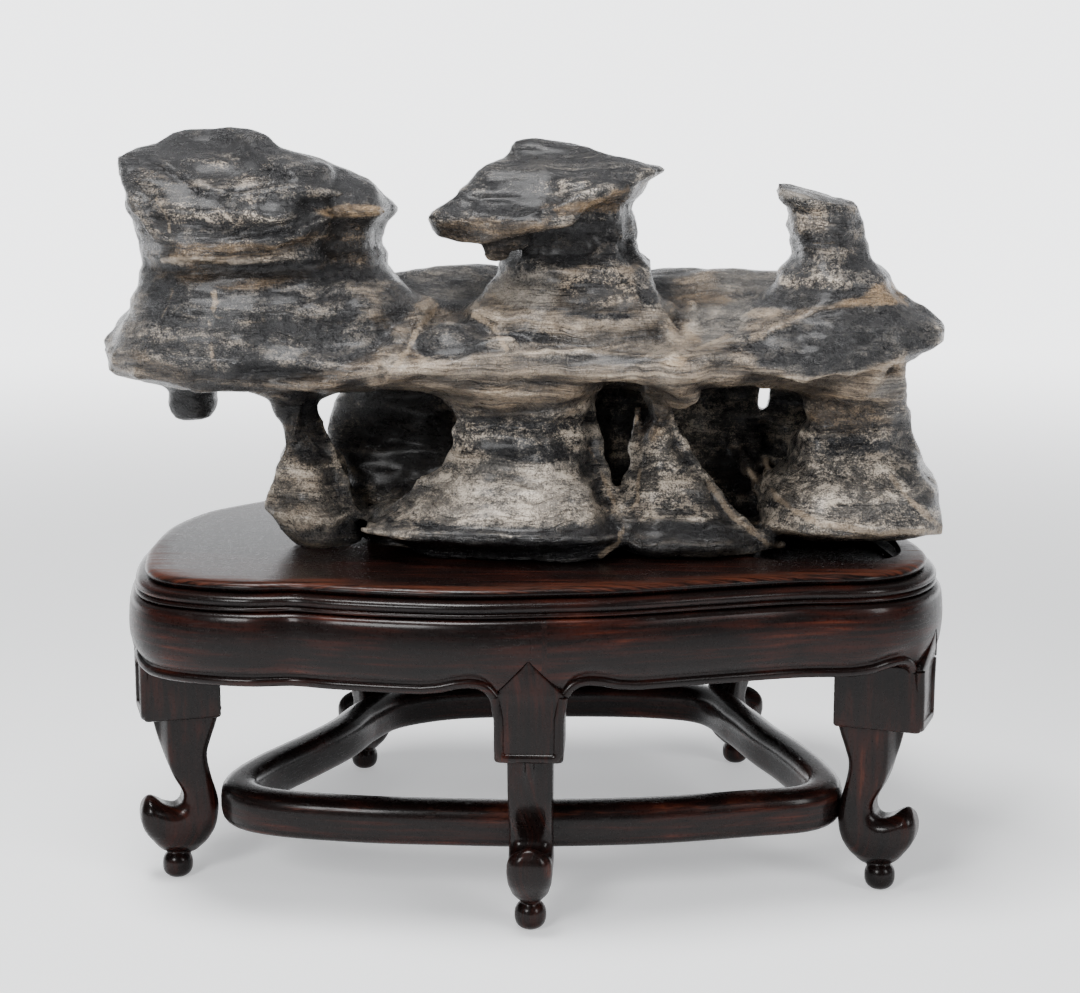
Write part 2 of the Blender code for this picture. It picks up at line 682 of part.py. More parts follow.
def mitre(height):
    """Half width of the leg where it runs up into the aprons."""
    if height >= LEG_APEX:
        return 0.0
    return min(1.0, (LEG_APEX - height) / (LEG_APEX - APRON_BOTTOM)) * LEG_BLOCK_HALF_WIDTH


def straight_ahead(leg, outline):
    """The outline point right in front of a leg, and how far ahead it lies."""
    foot, facing, side = leg_frame(leg)
    offset = outline - np.array(foot)
    ahead = offset @ np.array(facing)
    aside = np.abs(offset @ np.array(side))
    aside[ahead < 0] = np.inf
    nearest = int(np.argmin(aside))
    return nearest, float(ahead[nearest])


def leg_marks(outline):
    """Where each leg meets the outline, as a distance along it."""
    lengths = np.linalg.norm(np.roll(outline, -1, axis=0) - outline, axis=1)
    travelled = np.concatenate([[0.0], np.cumsum(lengths)])
    return [travelled[straight_ahead(leg, outline)[0]] for leg in LEGS], travelled


def make_aprons(outline, mitre_tools, finish):
    """Five aprons between the legs, butted above each leg and mitred to it."""
    marks, travelled = leg_marks(outline)
    normals = outward(outline)
    total = travelled[-1]

    def place(distance, offset):
        loop = np.vstack([outline, outline[:1]])
        facing = np.vstack([normals, normals[:1]])
        at = distance % total
        spot = [np.interp(at, travelled, loop[:, k]) for k in (0, 1)]
        way = [np.interp(at, travelled, facing[:, k]) for k in (0, 1)]
        return spot[0] + way[0] * offset, spot[1] + way[1] * offset

    names = ("front_right", "right", "back", "left", "front_left")
    for i, name in enumerate(names):
        start = marks[i]
        end = marks[(i + 1) % 5]
        if end <= start:
            end += total
        columns = max(APRON_COLUMNS, round((end - start) / APRON_COLUMN))
        loops = []
        for column in range(columns + 1):
            share = column / columns
            loop = []
            rows = [(s * APRON_PROUD, h) for s, h in APRON_PROFILE]
            rows += [(APRON_INNER, APRON_BOTTOM), (APRON_INNER, LEG_APEX), (APRON_INNER, APRON_TOP)]
            for offset, height in rows:
                distance = start + FIT + (end - start - 2 * FIT) * share
                loop.append((*place(distance, offset), height))
            loops.append(loop)
        apron = add_object("apron_" + name, loft(loops), finish)
        for leg in (LEGS[i], LEGS[(i + 1) % 5]):
            add_boolean(apron, mitre_tools[leg[0]], "DIFFERENCE")


def leg_space(leg):
    """A function from a leg's own (outwards, aside, height) to the stand."""
    foot, facing, side = leg_frame(leg)

    def world(out, aside, height):
        spot = foot + facing * out + side * aside
        return (spot.x, spot.y, height)

    return world


def block_form(leg, grow):
    """The square block with its pointed top; grown, it cuts the aprons."""
    world = leg_space(leg)
    _, to_edge = straight_ahead(leg, smooth_closed(BOARD_OUTLINE, FINE_POINTS))
    levels = []
    for height, share in BLOCK_LEVELS:
        half = max(mitre(height), MITRE_TIP) + MITRE_SLOPE * grow
        if height == BLOCK_LEVELS[-1][0]:
            height += 2 * grow
        outer = to_edge + share * APRON_PROUD + grow * MITRE_TOOL_REACH
        inner = BLOCK_INNER - grow
        levels.append([world(inner, half, height), world(inner, -half, height),
                       world(outer, -half, height), world(outer, half, height)])
    return loft(levels)


def make_leg(leg, ring_tool, finish):
    name = "leg_" + leg[0]
    world = leg_space(leg)

    half = LEG_SHAFT_HALF_WIDTH
    loops = []
    for aside, inset in ((-half, BEVEL), (BEVEL_WIDTH - half, 0.0),
                         (half - BEVEL_WIDTH, 0.0), (half, BEVEL)):
        loops.append([world(out, aside, height)
                      for out, height in shrink(SHAFT_PROFILE, inset)])
    shaft = add_object(name, loft(loops), finish)

    block = add_object(name + "_block", block_form(leg, 0.0), finish)
    post = [(-POST_HALF_WIDTH, POST_BOTTOM), (POST_HALF_WIDTH, POST_BOTTOM),
            (POST_HALF_WIDTH, LEG_POST_TOP), (-POST_HALF_WIDTH, LEG_POST_TOP)]
    back = add_object(name + "_post", loft([[world(POST_BACK, a, h) for a, h in post],
                                            [world(POST_FRONT, a, h) for a, h in post]]), finish)
    ball_data = bmesh.new()
    bmesh.ops.create_uvsphere(ball_data, u_segments=BALL_SEGMENTS, v_segments=BALL_RINGS,
                              radius=BALL_RADIUS)
    centre = BALL_RADIUS * math.cos(math.pi / BALL_RINGS)
    for vertex in ball_data.verts:
        height = max(0.0, centre + vertex.co.z)     # worn flat where it stands
        vertex.co = Vector(world(vertex.co.x, vertex.co.y, height))
    ball = add_object(name + "_ball", ball_data, finish)
    for tool in (block, back, ball):
        add_boolean(shaft, tool, "UNION")
    add_boolean(shaft, ring_tool, "DIFFERENCE")
    return shaft


def shrink(profile, inset):
    """Move a closed clockwise side profile inwards, for a rounded edge."""
    points = np.array(profile, dtype=float)
    return points - outward(points[::-1])[::-1] * inset


def make_ring(name, grow, finish):
    points = smooth_closed(RING_LINE, RING_POINTS)
    across = 0.5 * RING_WIDTH + grow
    tall = 0.5 * RING_HEIGHT + grow
    loops = []
    for i in range(RING_SIDES):
        angle = math.tau * (i + 0.5) / RING_SIDES
        c, s = math.cos(angle), math.sin(angle)
        offset = across * math.copysign(abs(c) ** RING_SQUARENESS, c)
        height = RING_LEVEL + tall * math.copysign(abs(s) ** RING_SQUARENESS, s)
        loops.append(at_height(offset_loop(points, offset), height))
    return add_object(name, loft(loops, closed_stack=True), finish)


def main():
    clear_scene()
    rock = material("dark_limestone", (0.16, 0.15, 0.14), 0.42)
    outline = smooth_closed(BOARD_OUTLINE, OUTLINE_POINTS)
    make_stone(rock)
    make_board(outline, material("board_rosewood", (0.07, 0.035, 0.028), 0.35))
    make_waist(outline, material("waist_rosewood", (0.045, 0.02, 0.016), 0.3))
    leg_finish = material("leg_rosewood", (0.05, 0.022, 0.016), 0.3)
    tools = {leg[0]: add_object("mitre_" + leg[0], block_form(leg, FIT), leg_finish)
             for leg in LEGS}
    make_aprons(outline, tools, material("apron_rosewood", (0.05, 0.02, 0.015), 0.28))
    make_ring("stretcher_ring", 0.0, material("ring_rosewood", (0.05, 0.025, 0.02), 0.35))
    ring_tool = make_ring("ring_cutter", FIT, leg_finish)
    for leg in LEGS:
        make_leg(leg, ring_tool, leg_finish)


main()
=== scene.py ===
"""The finish of a scholar's rock and of its carved hardwood stand.

The stone is the same smooth union of bedded masses as its solid, wrapped on a
finer grid, then given ledges, creases and pits.  The stand's board, aprons and
legs are carved again with their mouldings, beads and scrolled toes.

Sizes are millimetres; X runs along the stone, -Y is the front, Z is up.
"""
import math

import bmesh
import bpy
import numpy as np
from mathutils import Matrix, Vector

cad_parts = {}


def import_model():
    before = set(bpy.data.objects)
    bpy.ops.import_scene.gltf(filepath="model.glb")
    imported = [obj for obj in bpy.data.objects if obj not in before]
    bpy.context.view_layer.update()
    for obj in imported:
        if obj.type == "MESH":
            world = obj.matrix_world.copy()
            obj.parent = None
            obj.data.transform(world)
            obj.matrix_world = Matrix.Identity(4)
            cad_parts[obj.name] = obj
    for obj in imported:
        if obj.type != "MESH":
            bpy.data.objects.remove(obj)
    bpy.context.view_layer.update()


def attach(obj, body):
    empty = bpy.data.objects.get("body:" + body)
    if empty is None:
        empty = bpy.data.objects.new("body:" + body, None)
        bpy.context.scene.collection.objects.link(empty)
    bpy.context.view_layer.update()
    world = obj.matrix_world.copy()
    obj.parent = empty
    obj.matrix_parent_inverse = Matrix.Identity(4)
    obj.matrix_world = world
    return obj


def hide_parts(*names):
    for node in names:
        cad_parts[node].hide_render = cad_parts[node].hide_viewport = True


MM = 0.001
FIT = 0.3                       # air left between neighbouring pieces

# Where the middle of the whole object lies in the working coordinates below.
CENTRE_X = -5.7
CENTRE_Y = 9.5

# ---------------------------------------------------------------- stand sizes
BOARD_TOP = 162.0
BOARD_EDGE_BOTTOM = 157.4
BOARD_CORE_BOTTOM = 146.0
BOARD_CORE_INSET = 15.0
WAIST_TOP = 157.1
WAIST_BOTTOM = 149.4
WAIST_PROUD = 5.0
WAIST_INNER = -13.5
APRON_TOP = 149.1
APRON_BOTTOM = 115.0
APRON_PROUD = 8.1
APRON_INNER = -5.0
SOCKET_FLOOR = 154.0
SOCKET_CLEARANCE = 2.4

LEG_BLOCK_BOTTOM = 83.0
LEG_BLOCK_HALF_WIDTH = 15.6
LEG_APEX = 131.0
LEG_POST_TOP = 145.6
POST_FRONT = -12.0              # the leg's post behind the aprons
POST_BACK = -20.9
POST_BOTTOM = 107.0
POST_HALF_WIDTH = 15.1
RING_HEIGHT = 21.0
RING_WIDTH = 19.0
RING_LEVEL = 41.5

# Ring stretcher centre line, counter-clockwise from the front middle.
RING_LINE = [
    (3, -100), (57, -94), (104, -82), (132, -73), (142, -56), (139, -30),
    (130, 2), (119, 32), (108, 68), (92, 108), (60, 121), (7, 122), (-34, 118),
    (-62, 110), (-86, 92), (-98, 66), (-106, 34), (-119, 2), (-135, -34),
    (-142, -62), (-137, -80), (-118, -91), (-78, -98), (-36, -100),
]

# Board outline, counter-clockwise from the front middle.
BOARD_OUTLINE = [
    (8, -136), (42, -130), (84, -116), (122, -104), (146, -101), (163, -96),
    (177, -84), (187, -64), (190, -42), (187, -12), (180, 22), (167, 64),
    (150, 112), (136, 142), (112, 155), (60, 152), (0, 143), (-60, 137),
    (-106, 134), (-134, 116), (-155, 86), (-170, 66), (-181, 46), (-189, 8),
    (-188, -40), (-184, -72), (-177, -100), (-165, -117), (-146, -126),
    (-124, -130), (-104, -128), (-84, -133), (-54, -138), (-24, -140),
]

# Each foot: name, ball centre and the way the leg faces, in degrees from -Y,
# turning towards +X.
LEGS = [
    ("front_centre", 2.5, -126.0, 0.0),
    ("front_right", 169.4, -67.0, 72.0),
    ("back_right", 109.4, 137.5, 146.0),
    ("back_left", -105.0, 117.5, -146.0),
    ("front_left", -174.6, -64.7, -72.0),
]

# Side profile of the shaft and foot: (outwards from the ball centre, height).
SHAFT_PROFILE = [
    (10.5, 88), (10, 80), (7, 68), (2, 54), (-2.5, 45), (-2.8, 40.5),
    (-1, 37.6), (1.5, 36.8), (6, 38.2), (10, 41.2), (13.6, 42.3), (16.6, 38.5),
    (17.6, 32.5), (16.4, 26.5), (12.5, 20.3), (6, 13.5), (-6, 11.8), (-13, 16.3),
    (-18, 24), (-20, 32), (-20, 40), (-16.5, 53), (-15, 63), (-17, 71),
    (-20, 80), (-20.5, 88),
]
BLOCK_INNER = -21.3             # back of the square block above the shaft

# ---------------------------------------------------------------- stone sizes
STONE_SEAT = SOCKET_FLOOR + FIT
STONE_ON_BOARD = BOARD_TOP + FIT
STONE_SCALE = 0.979             # the masses below are laid out at this scale
STONE_SHIFT = (1.0, -22.0, 7.6)
UNDERCUT_RISE = 2.6             # the stone lifts off the board round its socketed foot
UNDERCUT_REACH = 9.0
STONE_INSET = 1.6               # takes back what the fillets add
STONE_REACH = ((-232, 222), (-112, 82), (148, 376))
PLUG = (-86.0, 112.0, -52.0, 68.0)   # left, right, front, back of the socketed foot
POCKET = (96.0, 179.0, -68.0, 22.0)  # open end of the socket, on the board

# Masses of the stone.  A level is (height, left, right, front, back).
MASSES = {
    "west_skirt": dict(blend=8, power=2.5, lobes=((3, 0.03, 0.6),), levels=[
        (236, -182, -80, -42, 40), (241, -206, -66, -58, 52),
        (247, -217, -59, -65, 58), (255, -220, -56, -66, 60),
        (263, -219, -55, -61, 60), (271, -215, -56, -57, 57),
        (280, -208, -60, -53, 54), (288, -204, -74, -48, 50),
        (294, -201, -88, -43, 47), (299, -200, -93, -41, 46),
        (303, -197, -96, -46, 46), (308, -199, -97, -47, 47),
        (313, -202, -97, -43, 48)]),
    "west_lobe": dict(blend=3, power=2.4, lobes=(), levels=[
        (276, -120, -55, -34, 46), (284, -122, -60, -28, 46),
        (291, -122, -69, -22, 46), (298, -122, -75, -18, 44),
        (306, -122, -77, -17, 42), (314, -122, -76, -20, 42),
        (319, -122, -71, -23, 42), (324, -122, -68, -25, 42),
        (330, -124, -71, -24, 42), (337, -130, -79, -18, 40),
        (345, -142, -97, -8, 36), (353, -156, -117, 2, 30)]),
    "east_cone": dict(blend=9, power=2.1, lobes=((3, 0.05, 0.1),), levels=[
        (244, 98, 170, -36, 38), (249, 88, 178, -50, 44),
        (255, 84, 191, -53, 48), (261, 88, 204, -50, 50),
        (267, 93, 205, -42, 48), (274, 99, 196, -35, 46),
        (281, 106, 187, -30, 42), (288, 112, 180, -26, 38),
        (296, 118, 171, -22, 34), (303, 122, 164, -18, 30),
        (307, 120, 166, -19, 31), (312, 120, 163, -17, 29),
        (322, 120, 162, -16, 27), (330, 117, 163, -18, 26),
        (345, 116, 164, -19, 26)], cut=((136, 5, 334), (0.22, -0.14, 0.96))),
    "middle_cone": dict(blend=8, power=2.3, lobes=((2, 0.03, 0.5),), levels=[
        (258, -44, 68, -50, 48), (266, -38, 66, -46, 44),
        (273, -34, 65, -42, 42), (281, -30, 64, -38, 40),
        (289, -24, 62, -34, 38), (299, -18, 58, -29, 35),
        (307, -15, 54, -26, 32), (314, -14, 54, -25, 30),
        (318, -12, 51, -25, 30), (324, -10, 50, -27, 30),
        (331, -8, 53, -29, 30), (340, -4, 57, -30, 28)]),
    "left_pillar": dict(blend=10, power=2.3, lobes=((3, 0.05, 0.4),), levels=[
        (150, -118, -78, -22, 30), (158, -124, -80, -28, 32),
        (166, -136, -82, -31, 34), (175, -142, -86, -31, 34),
        (187, -138, -94, -25, 32), (200, -133, -100, -18, 28),
        (212, -130, -107, -12, 22), (221, -131, -110, -10, 20),
        (229, -138, -106, -14, 22), (240, -154, -92, -26, 32)]),
    "front_pillar": dict(blend=8, power=2.7, lobes=((3, 0.04, 2.4),), levels=[
        (150, -58, 44, -58, 30), (162, -66, 48, -63, 32),
        (167, -80, 48, -70, 32), (170, -86, 46, -76, 32),
        (174, -80, 45, -75, 30), (182, -71, 41, -67, 28),
        (191, -65, 38, -60, 25), (200, -58, 35, -54, 20),
        (213, -47, 31, -46, 18), (223, -43, 29, -44, 16),
        (231, -46, 30, -48, 16), (240, -58, 38, -57, 22)]),
    "mid_pillar": dict(blend=6, power=2.4, lobes=((3, 0.04, 1.0),), levels=[
        (150, 34, 118, -44, 40), (159, 34, 123, -52, 40),
        (164, 34, 115, -60, 38), (173, 38, 103, -55, 34),
        (185, 43, 91, -45, 30), (196, 47, 82, -37, 26),
        (210, 50, 70, -29, 22), (222, 52, 67, -26, 20),
        (232, 51, 73, -31, 22), (242, 44, 76, -38, 26)]),
    "east_pillar": dict(blend=8, power=2.6, lobes=(), levels=[
        (159, 134, 178, -16, 40), (163, 128, 188, -30, 44),
        (167, 116, 198, -45, 46), (171, 108, 205, -52, 47),
        (178, 110, 204, -47, 46), (190, 119, 201, -37, 44),
        (201, 127, 194, -29, 40), (210, 131, 189, -24, 36),
        (220, 134, 186, -21, 34), (229, 135, 182, -22, 33),
        (238, 134, 181, -31, 35), (246, 122, 182, -40, 40)]),
    "back_left_wall": dict(blend=10, power=2.6, lobes=((4, 0.04, 0.9),), levels=[
        (150, -92, -6, 4, 86), (175, -99, -12, 12, 84),
        (192, -106, -18, 22, 80), (208, -113, -28, 28, 77),
        (222, -108, -34, 30, 77), (236, -104, -30, 26, 80),
        (246, -112, -18, 18, 86)]),
    "back_right_wall": dict(blend=10, power=2.6, lobes=((4, 0.04, 0.2),), levels=[
        (150, 0, 122, 26, 86), (176, 2, 119, 36, 86),
        (204, 4, 116, 42, 82), (226, 4, 116, 44, 82),
        (240, 0, 118, 38, 84), (248, -4, 126, 32, 88)]),
    "back_east_pillar": dict(blend=8, power=2.3, lobes=((3, 0.05, 0.0),), levels=[
        (158, 118, 178, 22, 72), (172, 112, 190, 28, 76),
        (198, 113, 188, 34, 74), (218, 116, 186, 38, 72),
        (233, 122, 181, 38, 70), (246, 118, 184, 34, 74)]),
    "stub": dict(blend=6, power=2.8, lobes=(), levels=[
        (214.5, -190, -170, 8, 32), (222, -193, -168, 6, 35),
        (229, -195, -166, 4, 37), (240, -206, -156, -4, 42)]),
}

# Faceted masses: every facet is a point on it and the way it faces.
FACETED = {
    "west_cap": dict(blend=4, soft=7, facets=[
        ((-150, -46, 334), (-0.04, -0.52, 0.85)),
        ((-200, 5, 358), (-0.27, -0.05, 0.96)),
        ((-120, 14, 354), (0.42, 0.05, 0.91)),
        ((-150, 38, 356), (0.05, 0.45, 0.89)),
        ((-150, -50, 322), (-0.05, -0.98, -0.12)),
        ((-190, -33, 330), (-0.72, -0.68, -0.05)),
        ((-205, 0, 346), (-0.98, 0.0, -0.12)),
        ((-102, -30, 326), (0.72, -0.69, 0.05)),
        ((-97, 0, 320), (1.0, 0.1, 0.0)),
        ((-150, 50, 320), (0.0, 1.0, -0.05)),
        ((-190, 42, 330), (-0.7, 0.7, 0.0)),
        ((-150, 0, 306), (0.0, 0.0, -1.0))]),
    "middle_cap": dict(blend=3, soft=5, facets=[
        ((0, -46, 324), (-0.03, -0.52, 0.85)),
        ((-34, 0, 339), (-0.68, 0.0, 0.73)),
        ((36, 0, 354), (0.26, 0.0, 0.965)),
        ((0, 18, 359), (0.0, 0.42, 0.91)),
        ((0, 40, 335), (0.0, 0.97, -0.2)),
        ((0, -49, 320), (0.0, -0.97, -0.25)),
        ((36, -30, 330), (0.6, -0.8, -0.1)),
        ((-47, -24, 316), (-0.7, -0.7, 0.0)),
        ((-53, 0, 316), (-0.9, 0.0, -0.43)),
        ((-30, -45, 305.5), (0.05, 0.12, -0.99)),
        ((-17, -45, 305), (0.33, 0.12, -0.94)),
        ((60, 0, 338), (0.8, 0.0, -0.6)),
        ((40, 34, 340), (0.6, 0.8, 0.0))]),
    "shelf": dict(blend=9, soft=10, facets=[
        ((0, -60, 257), (0.0, -0.27, 0.96)),
        ((0, -60, 240), (0.0, -0.1, -0.99)),
        ((0, -64, 250), (0.05, -1.0, 0.0)),
        ((-106, 0, 250), (-1.0, 0.0, 0.0)),
        ((76, -58, 250), (0.5, -0.86, 0.0)),
        ((178, 30, 250), (1.0, 0.0, 0.0)),
        ((160, 70, 250), (0.7, 0.7, 0.0)),
        ((0, 90, 250), (0.0, 1.0, 0.0)),
        ((-92, 72, 250), (-0.7, 0.7, 0.0)),
        ((0, 60, 293), (0.0, 0.25, 0.97))]),
}

# Small rounded lumps and the caves: centre and half sizes.
LUMPS = [
    ((-19, -27, 305.5), (10, 13, 6.5), 3),
    ((-9, -20, 309), (10, 16, 7), 4),
    ((-40, 62, 281), (32, 26, 14), 12),
    ((92, 58, 279), (50, 30, 13), 12),
    ((-38, -36, 261), (22, 15, 13), 10),
    ((-14, -48, 263), (13, 8, 6), 5),
    ((70, -34, 236), (9, 9, 8), 6),
    ((118, 62, 222), (15, 20, 18), 4),
]
CAVES = [
    ((40, -30, 232), (13, 34, 13), 5),
    ((42, -40, 212), (7, 26, 18), 5),
    ((96, 6, 224), (19, 34, 22), 8),
    ((-60, -6, 212), (20, 26, 34), 8),
]

WARP = [                        # (size, wavelength, direction, phase)
    (2.6, 92, (0.8, 0.3, 0.5), 0.4),
    (1.8, 57, (-0.4, 0.8, 0.45), 2.1),
    (1.2, 38, (0.3, -0.6, 0.75), 4.0),
    (0.8, 26, (0.7, 0.6, -0.4), 1.2),
]
BEDDING = [(0.9, 21.0, 0.3), (0.6, 11.5, 1.9)]   # (relief, spacing, phase)
LEVEL_SMOOTHING = 1.3
PINCH_FILL = 0.05


def smooth_min(first, second, radius):
    """Union of two distances, filleted over the radius."""
    share = np.clip(0.5 + 0.5 * (second - first) / radius, 0.0, 1.0)
    return second + (first - second) * share - radius * share * (1.0 - share)


def smooth_max(first, second, radius):
    return -smooth_min(-first, -second, radius)


def bedded_mass(x, y, z, levels, power, lobes):
    """Distance to a mass whose plan changes from level to level."""
    table = np.array(levels, dtype=float)
    heights = np.arange(table[0, 0], table[-1, 0] + 0.5, 1.0)
    kernel = np.exp(-0.5 * (np.arange(-6, 7) / LEVEL_SMOOTHING) ** 2)
    kernel /= kernel.sum()
    edges = []
    for column in range(1, 5):
        values = np.interp(heights, table[:, 0], table[:, column])
        padded = np.pad(values, 6, mode="edge")
        edges.append(np.interp(z, heights, np.convolve(padded, kernel, "valid")))
    left, right, front, back = edges
    from_x = x - 0.5 * (left + right)
    from_y = y - 0.5 * (front + back)
    along = np.abs(from_x) / (0.5 * (right - left))
    across = np.abs(from_y) / (0.5 * (back - front))
    ratio = (along ** power + across ** power) ** (1.0 / power) + 1e-4
    if lobes:
        angle = np.arctan2(from_y, from_x)
        swell = 1.0
        for count, size, phase in lobes:
            swell = swell + size * np.cos(count * angle - phase)
        ratio = ratio / swell
    reach = np.hypot(from_x, from_y)
    side = reach * (1.0 - 1.0 / ratio)
    ends = np.maximum(z - table[-1, 0], table[0, 0] - z)
    return smooth_max(side, ends, 5.0)


def facet(x, y, z, point, facing):
    """Distance to a flat facet through a point."""
    nx, ny, nz = Vector(facing).normalized()
    return (x - point[0]) * nx + (y - point[1]) * ny + (z - point[2]) * nz


def faceted_mass(x, y, z, facets, soft):
    """Distance to a block cut by flat facets, its edges rounded over soft."""
    block = None
    for point, facing in facets:
        plane = facet(x, y, z, point, facing)
        block = plane if block is None else smooth_max(block, plane, soft)
    return block


def lump(x, y, z, centre, half_sizes):
    """Distance to an ellipsoid."""
    parts = [(a - c) / h for a, c, h in zip((x, y, z), centre, half_sizes)]
    ratio = np.sqrt(sum(part * part for part in parts)) + 1e-4
    return (ratio - 1.0) * min(half_sizes)


def stone_form(x, y, z):
    """Signed distance (mm, negative inside) to the whole stone."""
    x = (x - STONE_SHIFT[0]) / STONE_SCALE
    y = (y - STONE_SHIFT[1]) / STONE_SCALE
    z = (z - STONE_SHIFT[2]) / STONE_SCALE
    wx, wy = x, y
    for size, wave, (dx, dy, dz), phase in WARP:
        swing = (x * dx + y * dy + z * dz) * math.tau / wave + phase
        wx = wx + 0.7 * size * np.sin(swing)
        wy = wy + size * np.cos(swing)
    bed = z + 0.03 * x - 0.04 * y
    relief = sum(size * np.sin(bed * math.tau / gap + phase) for size, gap, phase in BEDDING)
    form = None
    for mass in MASSES.values():
        part = bedded_mass(wx, wy, z, mass["levels"], mass["power"], mass["lobes"])
        if "cut" in mass:
            part = smooth_max(part, facet(wx, wy, z, *mass["cut"]), 3.0)
        form = part if form is None else smooth_min(form, part, mass["blend"])
    for mass in FACETED.values():
        part = faceted_mass(wx, wy, z, mass["facets"], mass["soft"])
        form = smooth_min(form, part, mass["blend"])
    for centre, half_sizes, blend in LUMPS:
        form = smooth_min(form, lump(wx, wy, z, centre, half_sizes), blend)
    for centre, half_sizes, blend in CAVES:
        form = smooth_max(form, -lump(wx, wy, z, centre, half_sizes), blend)
    return (form - relief + STONE_INSET) * STONE_SCALE


def along_line(form, x, y, z, line, blend, carve=False):
    """Join to the form, or carve from it, a tapering rod along (x, y, z, radius) points."""
    for start, end in zip(line, line[1:]):
        start, end = np.array(start, dtype=float), np.array(end, dtype=float)
        room = max(start[3], end[3]) + 2.0 * blend
        low = np.minimum(start, end)[:3] - room
        high = np.maximum(start, end)[:3] + room
        window = tuple(slice(*np.searchsorted(axis, (l, h))) for axis, l, h in
                       zip((x[:, 0, 0], y[0, :, 0], z[0, 0, :]), low, high))
        if 0 in form[window].shape:
            continue
        way = end - start
        offset = [axis[window] - at for axis, at in zip((x, y, z), start)]
        share = sum(part * step for part, step in zip(offset, way)) / float(way[:3] @ way[:3])
        share = np.clip(share, 0.0, 1.0)
        gap = np.sqrt(sum((part - share * step) ** 2 for part, step in zip(offset, way)))
        rod = gap - (start[3] + share * way[3])
        if carve:
            form[window] = smooth_max(form[window], -rod, blend)
        else:
            form[window] = smooth_min(form[window], rod, blend)
    return form


def ridged_form(x, y, z):
    """The stone with its sharp ridges, rims and hollows; x, y and z are grids."""
    form = stone_form(x, y, z)
    x, y = x - CENTRE_X, y - CENTRE_Y
    for radius, blend, line in HOLLOWS:
        form = along_line(form, x, y, z, [(*point, radius) for point in line], blend, True)
    for radius, blend, line in RIDGES + PILLAR_RIDGES:
        depth = radius - RIDGE_RISE
        sunk = [(px, py + INWARD[1] * depth, pz + INWARD[2] * depth, radius) for px, py, pz in line]
        form = along_line(form, x, y, z, sunk, blend)
    return form


def plug_distance(x, y):
    """Distance to the rounded outline of the foot that sits in the socket."""
    left, right, front, back = PLUG
    along = np.abs(x - 0.5 * (left + right)) / (0.5 * (right - left))
    across = np.abs(y - 0.5 * (front + back)) / (0.5 * (back - front))
    ratio = (along ** 3.2 + across ** 3.2) ** (1.0 / 3.2)
    return (ratio - 1.0) * 0.5 * (back - front)


def seated_form(x, y, z):
    """The stone cut flat: on the board, and lower where its foot is socketed."""
    from_plug = plug_distance(x, y)
    undercut = UNDERCUT_RISE * np.clip(1.0 - from_plug / UNDERCUT_REACH, 0.0, 1.0)
    off_board = np.minimum(STONE_ON_BOARD + undercut - z, from_plug)
    return np.maximum(ridged_form(x, y, z), np.maximum(off_board, STONE_SEAT - z))


# ------------------------------------------------------------ skin of a form
def corner_views(grid, axes):
    """Views of a grid's cell corners along the given axes."""
    views = {}
    for bits in np.ndindex(*(2,) * len(axes)):
        window = [slice(None)] * 3
        for axis, bit in zip(axes, bits):
            window[axis] = slice(1, None) if bit else slice(None, -1)
        views[bits] = grid[tuple(window)]
    return views


def close_pinches(field):
    """Fill grid points where the skin would touch itself along an edge or at a point."""
    for _ in range(20):
        filled = 0
        inside = field < 0.0
        for axes in ((0, 1), (0, 2), (1, 2), (0, 1, 2)):
            corner, value = corner_views(inside, axes), corner_views(field, axes)
            total = sum(view.astype(int) for view in corner.values())
            for bits in corner:
                other = tuple(1 - bit for bit in bits)
                pinch = corner[bits] & corner[other] & (total == 2)
                if len(axes) == 3:
                    hollow = ~corner[bits] & ~corner[other] & (total == 6)
                    value[bits][hollow] = -PINCH_FILL
                    filled += int(hollow.sum())
                beside = (1 - bits[0], *bits[1:])
                value[beside][pinch] = -PINCH_FILL
                filled += int(pinch.sum())
        if not filled:
            return


def wrap_form(form, reach, step):
    """Vertices and quads of the surface where the form crosses zero."""
    axes = [np.arange(low, high + step, step) for low, high in reach]
    x, y, z = np.meshgrid(*axes, indexing="ij")
    field = form(x, y, z)
    close_pinches(field)
    inside = field < 0.0
    count = sum(view.astype(int) for view in corner_views(inside, (0, 1, 2)).values())
    cells = np.argwhere((count > 0) & (count < 8))
    number = np.full(count.shape, -1)
    number[tuple(cells.T)] = np.arange(len(cells))
    total = np.zeros((len(cells), 3))
    hits = np.zeros(len(cells))
    for axis in range(3):
        others = [a for a in range(3) if a != axis]
        for first, second in np.ndindex(2, 2):
            start = cells.copy()
            start[:, others[0]] += first
            start[:, others[1]] += second
            end = start.copy()
            end[:, axis] += 1
            a = field[tuple(start.T)]
            b = field[tuple(end.T)]
            crossed = (a < 0.0) != (b < 0.0)
            share = np.where(crossed, a / np.where(crossed, a - b, 1.0), 0.0)
            point = start.astype(float)
            point[:, axis] += share
            total += point * crossed[:, None]
            hits += crossed
    low = np.array([axis[0] for axis in axes])
    vertices = low + total / hits[:, None] * step
    quads = []
    for axis in range(3):
        first, second = [(axis + 1) % 3, (axis + 2) % 3]
        near = np.take(inside, range(field.shape[axis] - 1), axis)
        far = np.take(inside, range(1, field.shape[axis]), axis)
        for edges, turned in ((np.argwhere(near & ~far), False), (np.argwhere(~near & far), True)):
            corners = []
            for back_first, back_second in ((1, 1), (0, 1), (0, 0), (1, 0)):
                cell = edges.copy()
                cell[:, first] -= back_first
                cell[:, second] -= back_second
                corners.append(number[tuple(cell.T)])
            if turned:
                corners.reverse()
            quads.append(np.stack(corners, axis=1))
    return vertices, np.concatenate(quads)


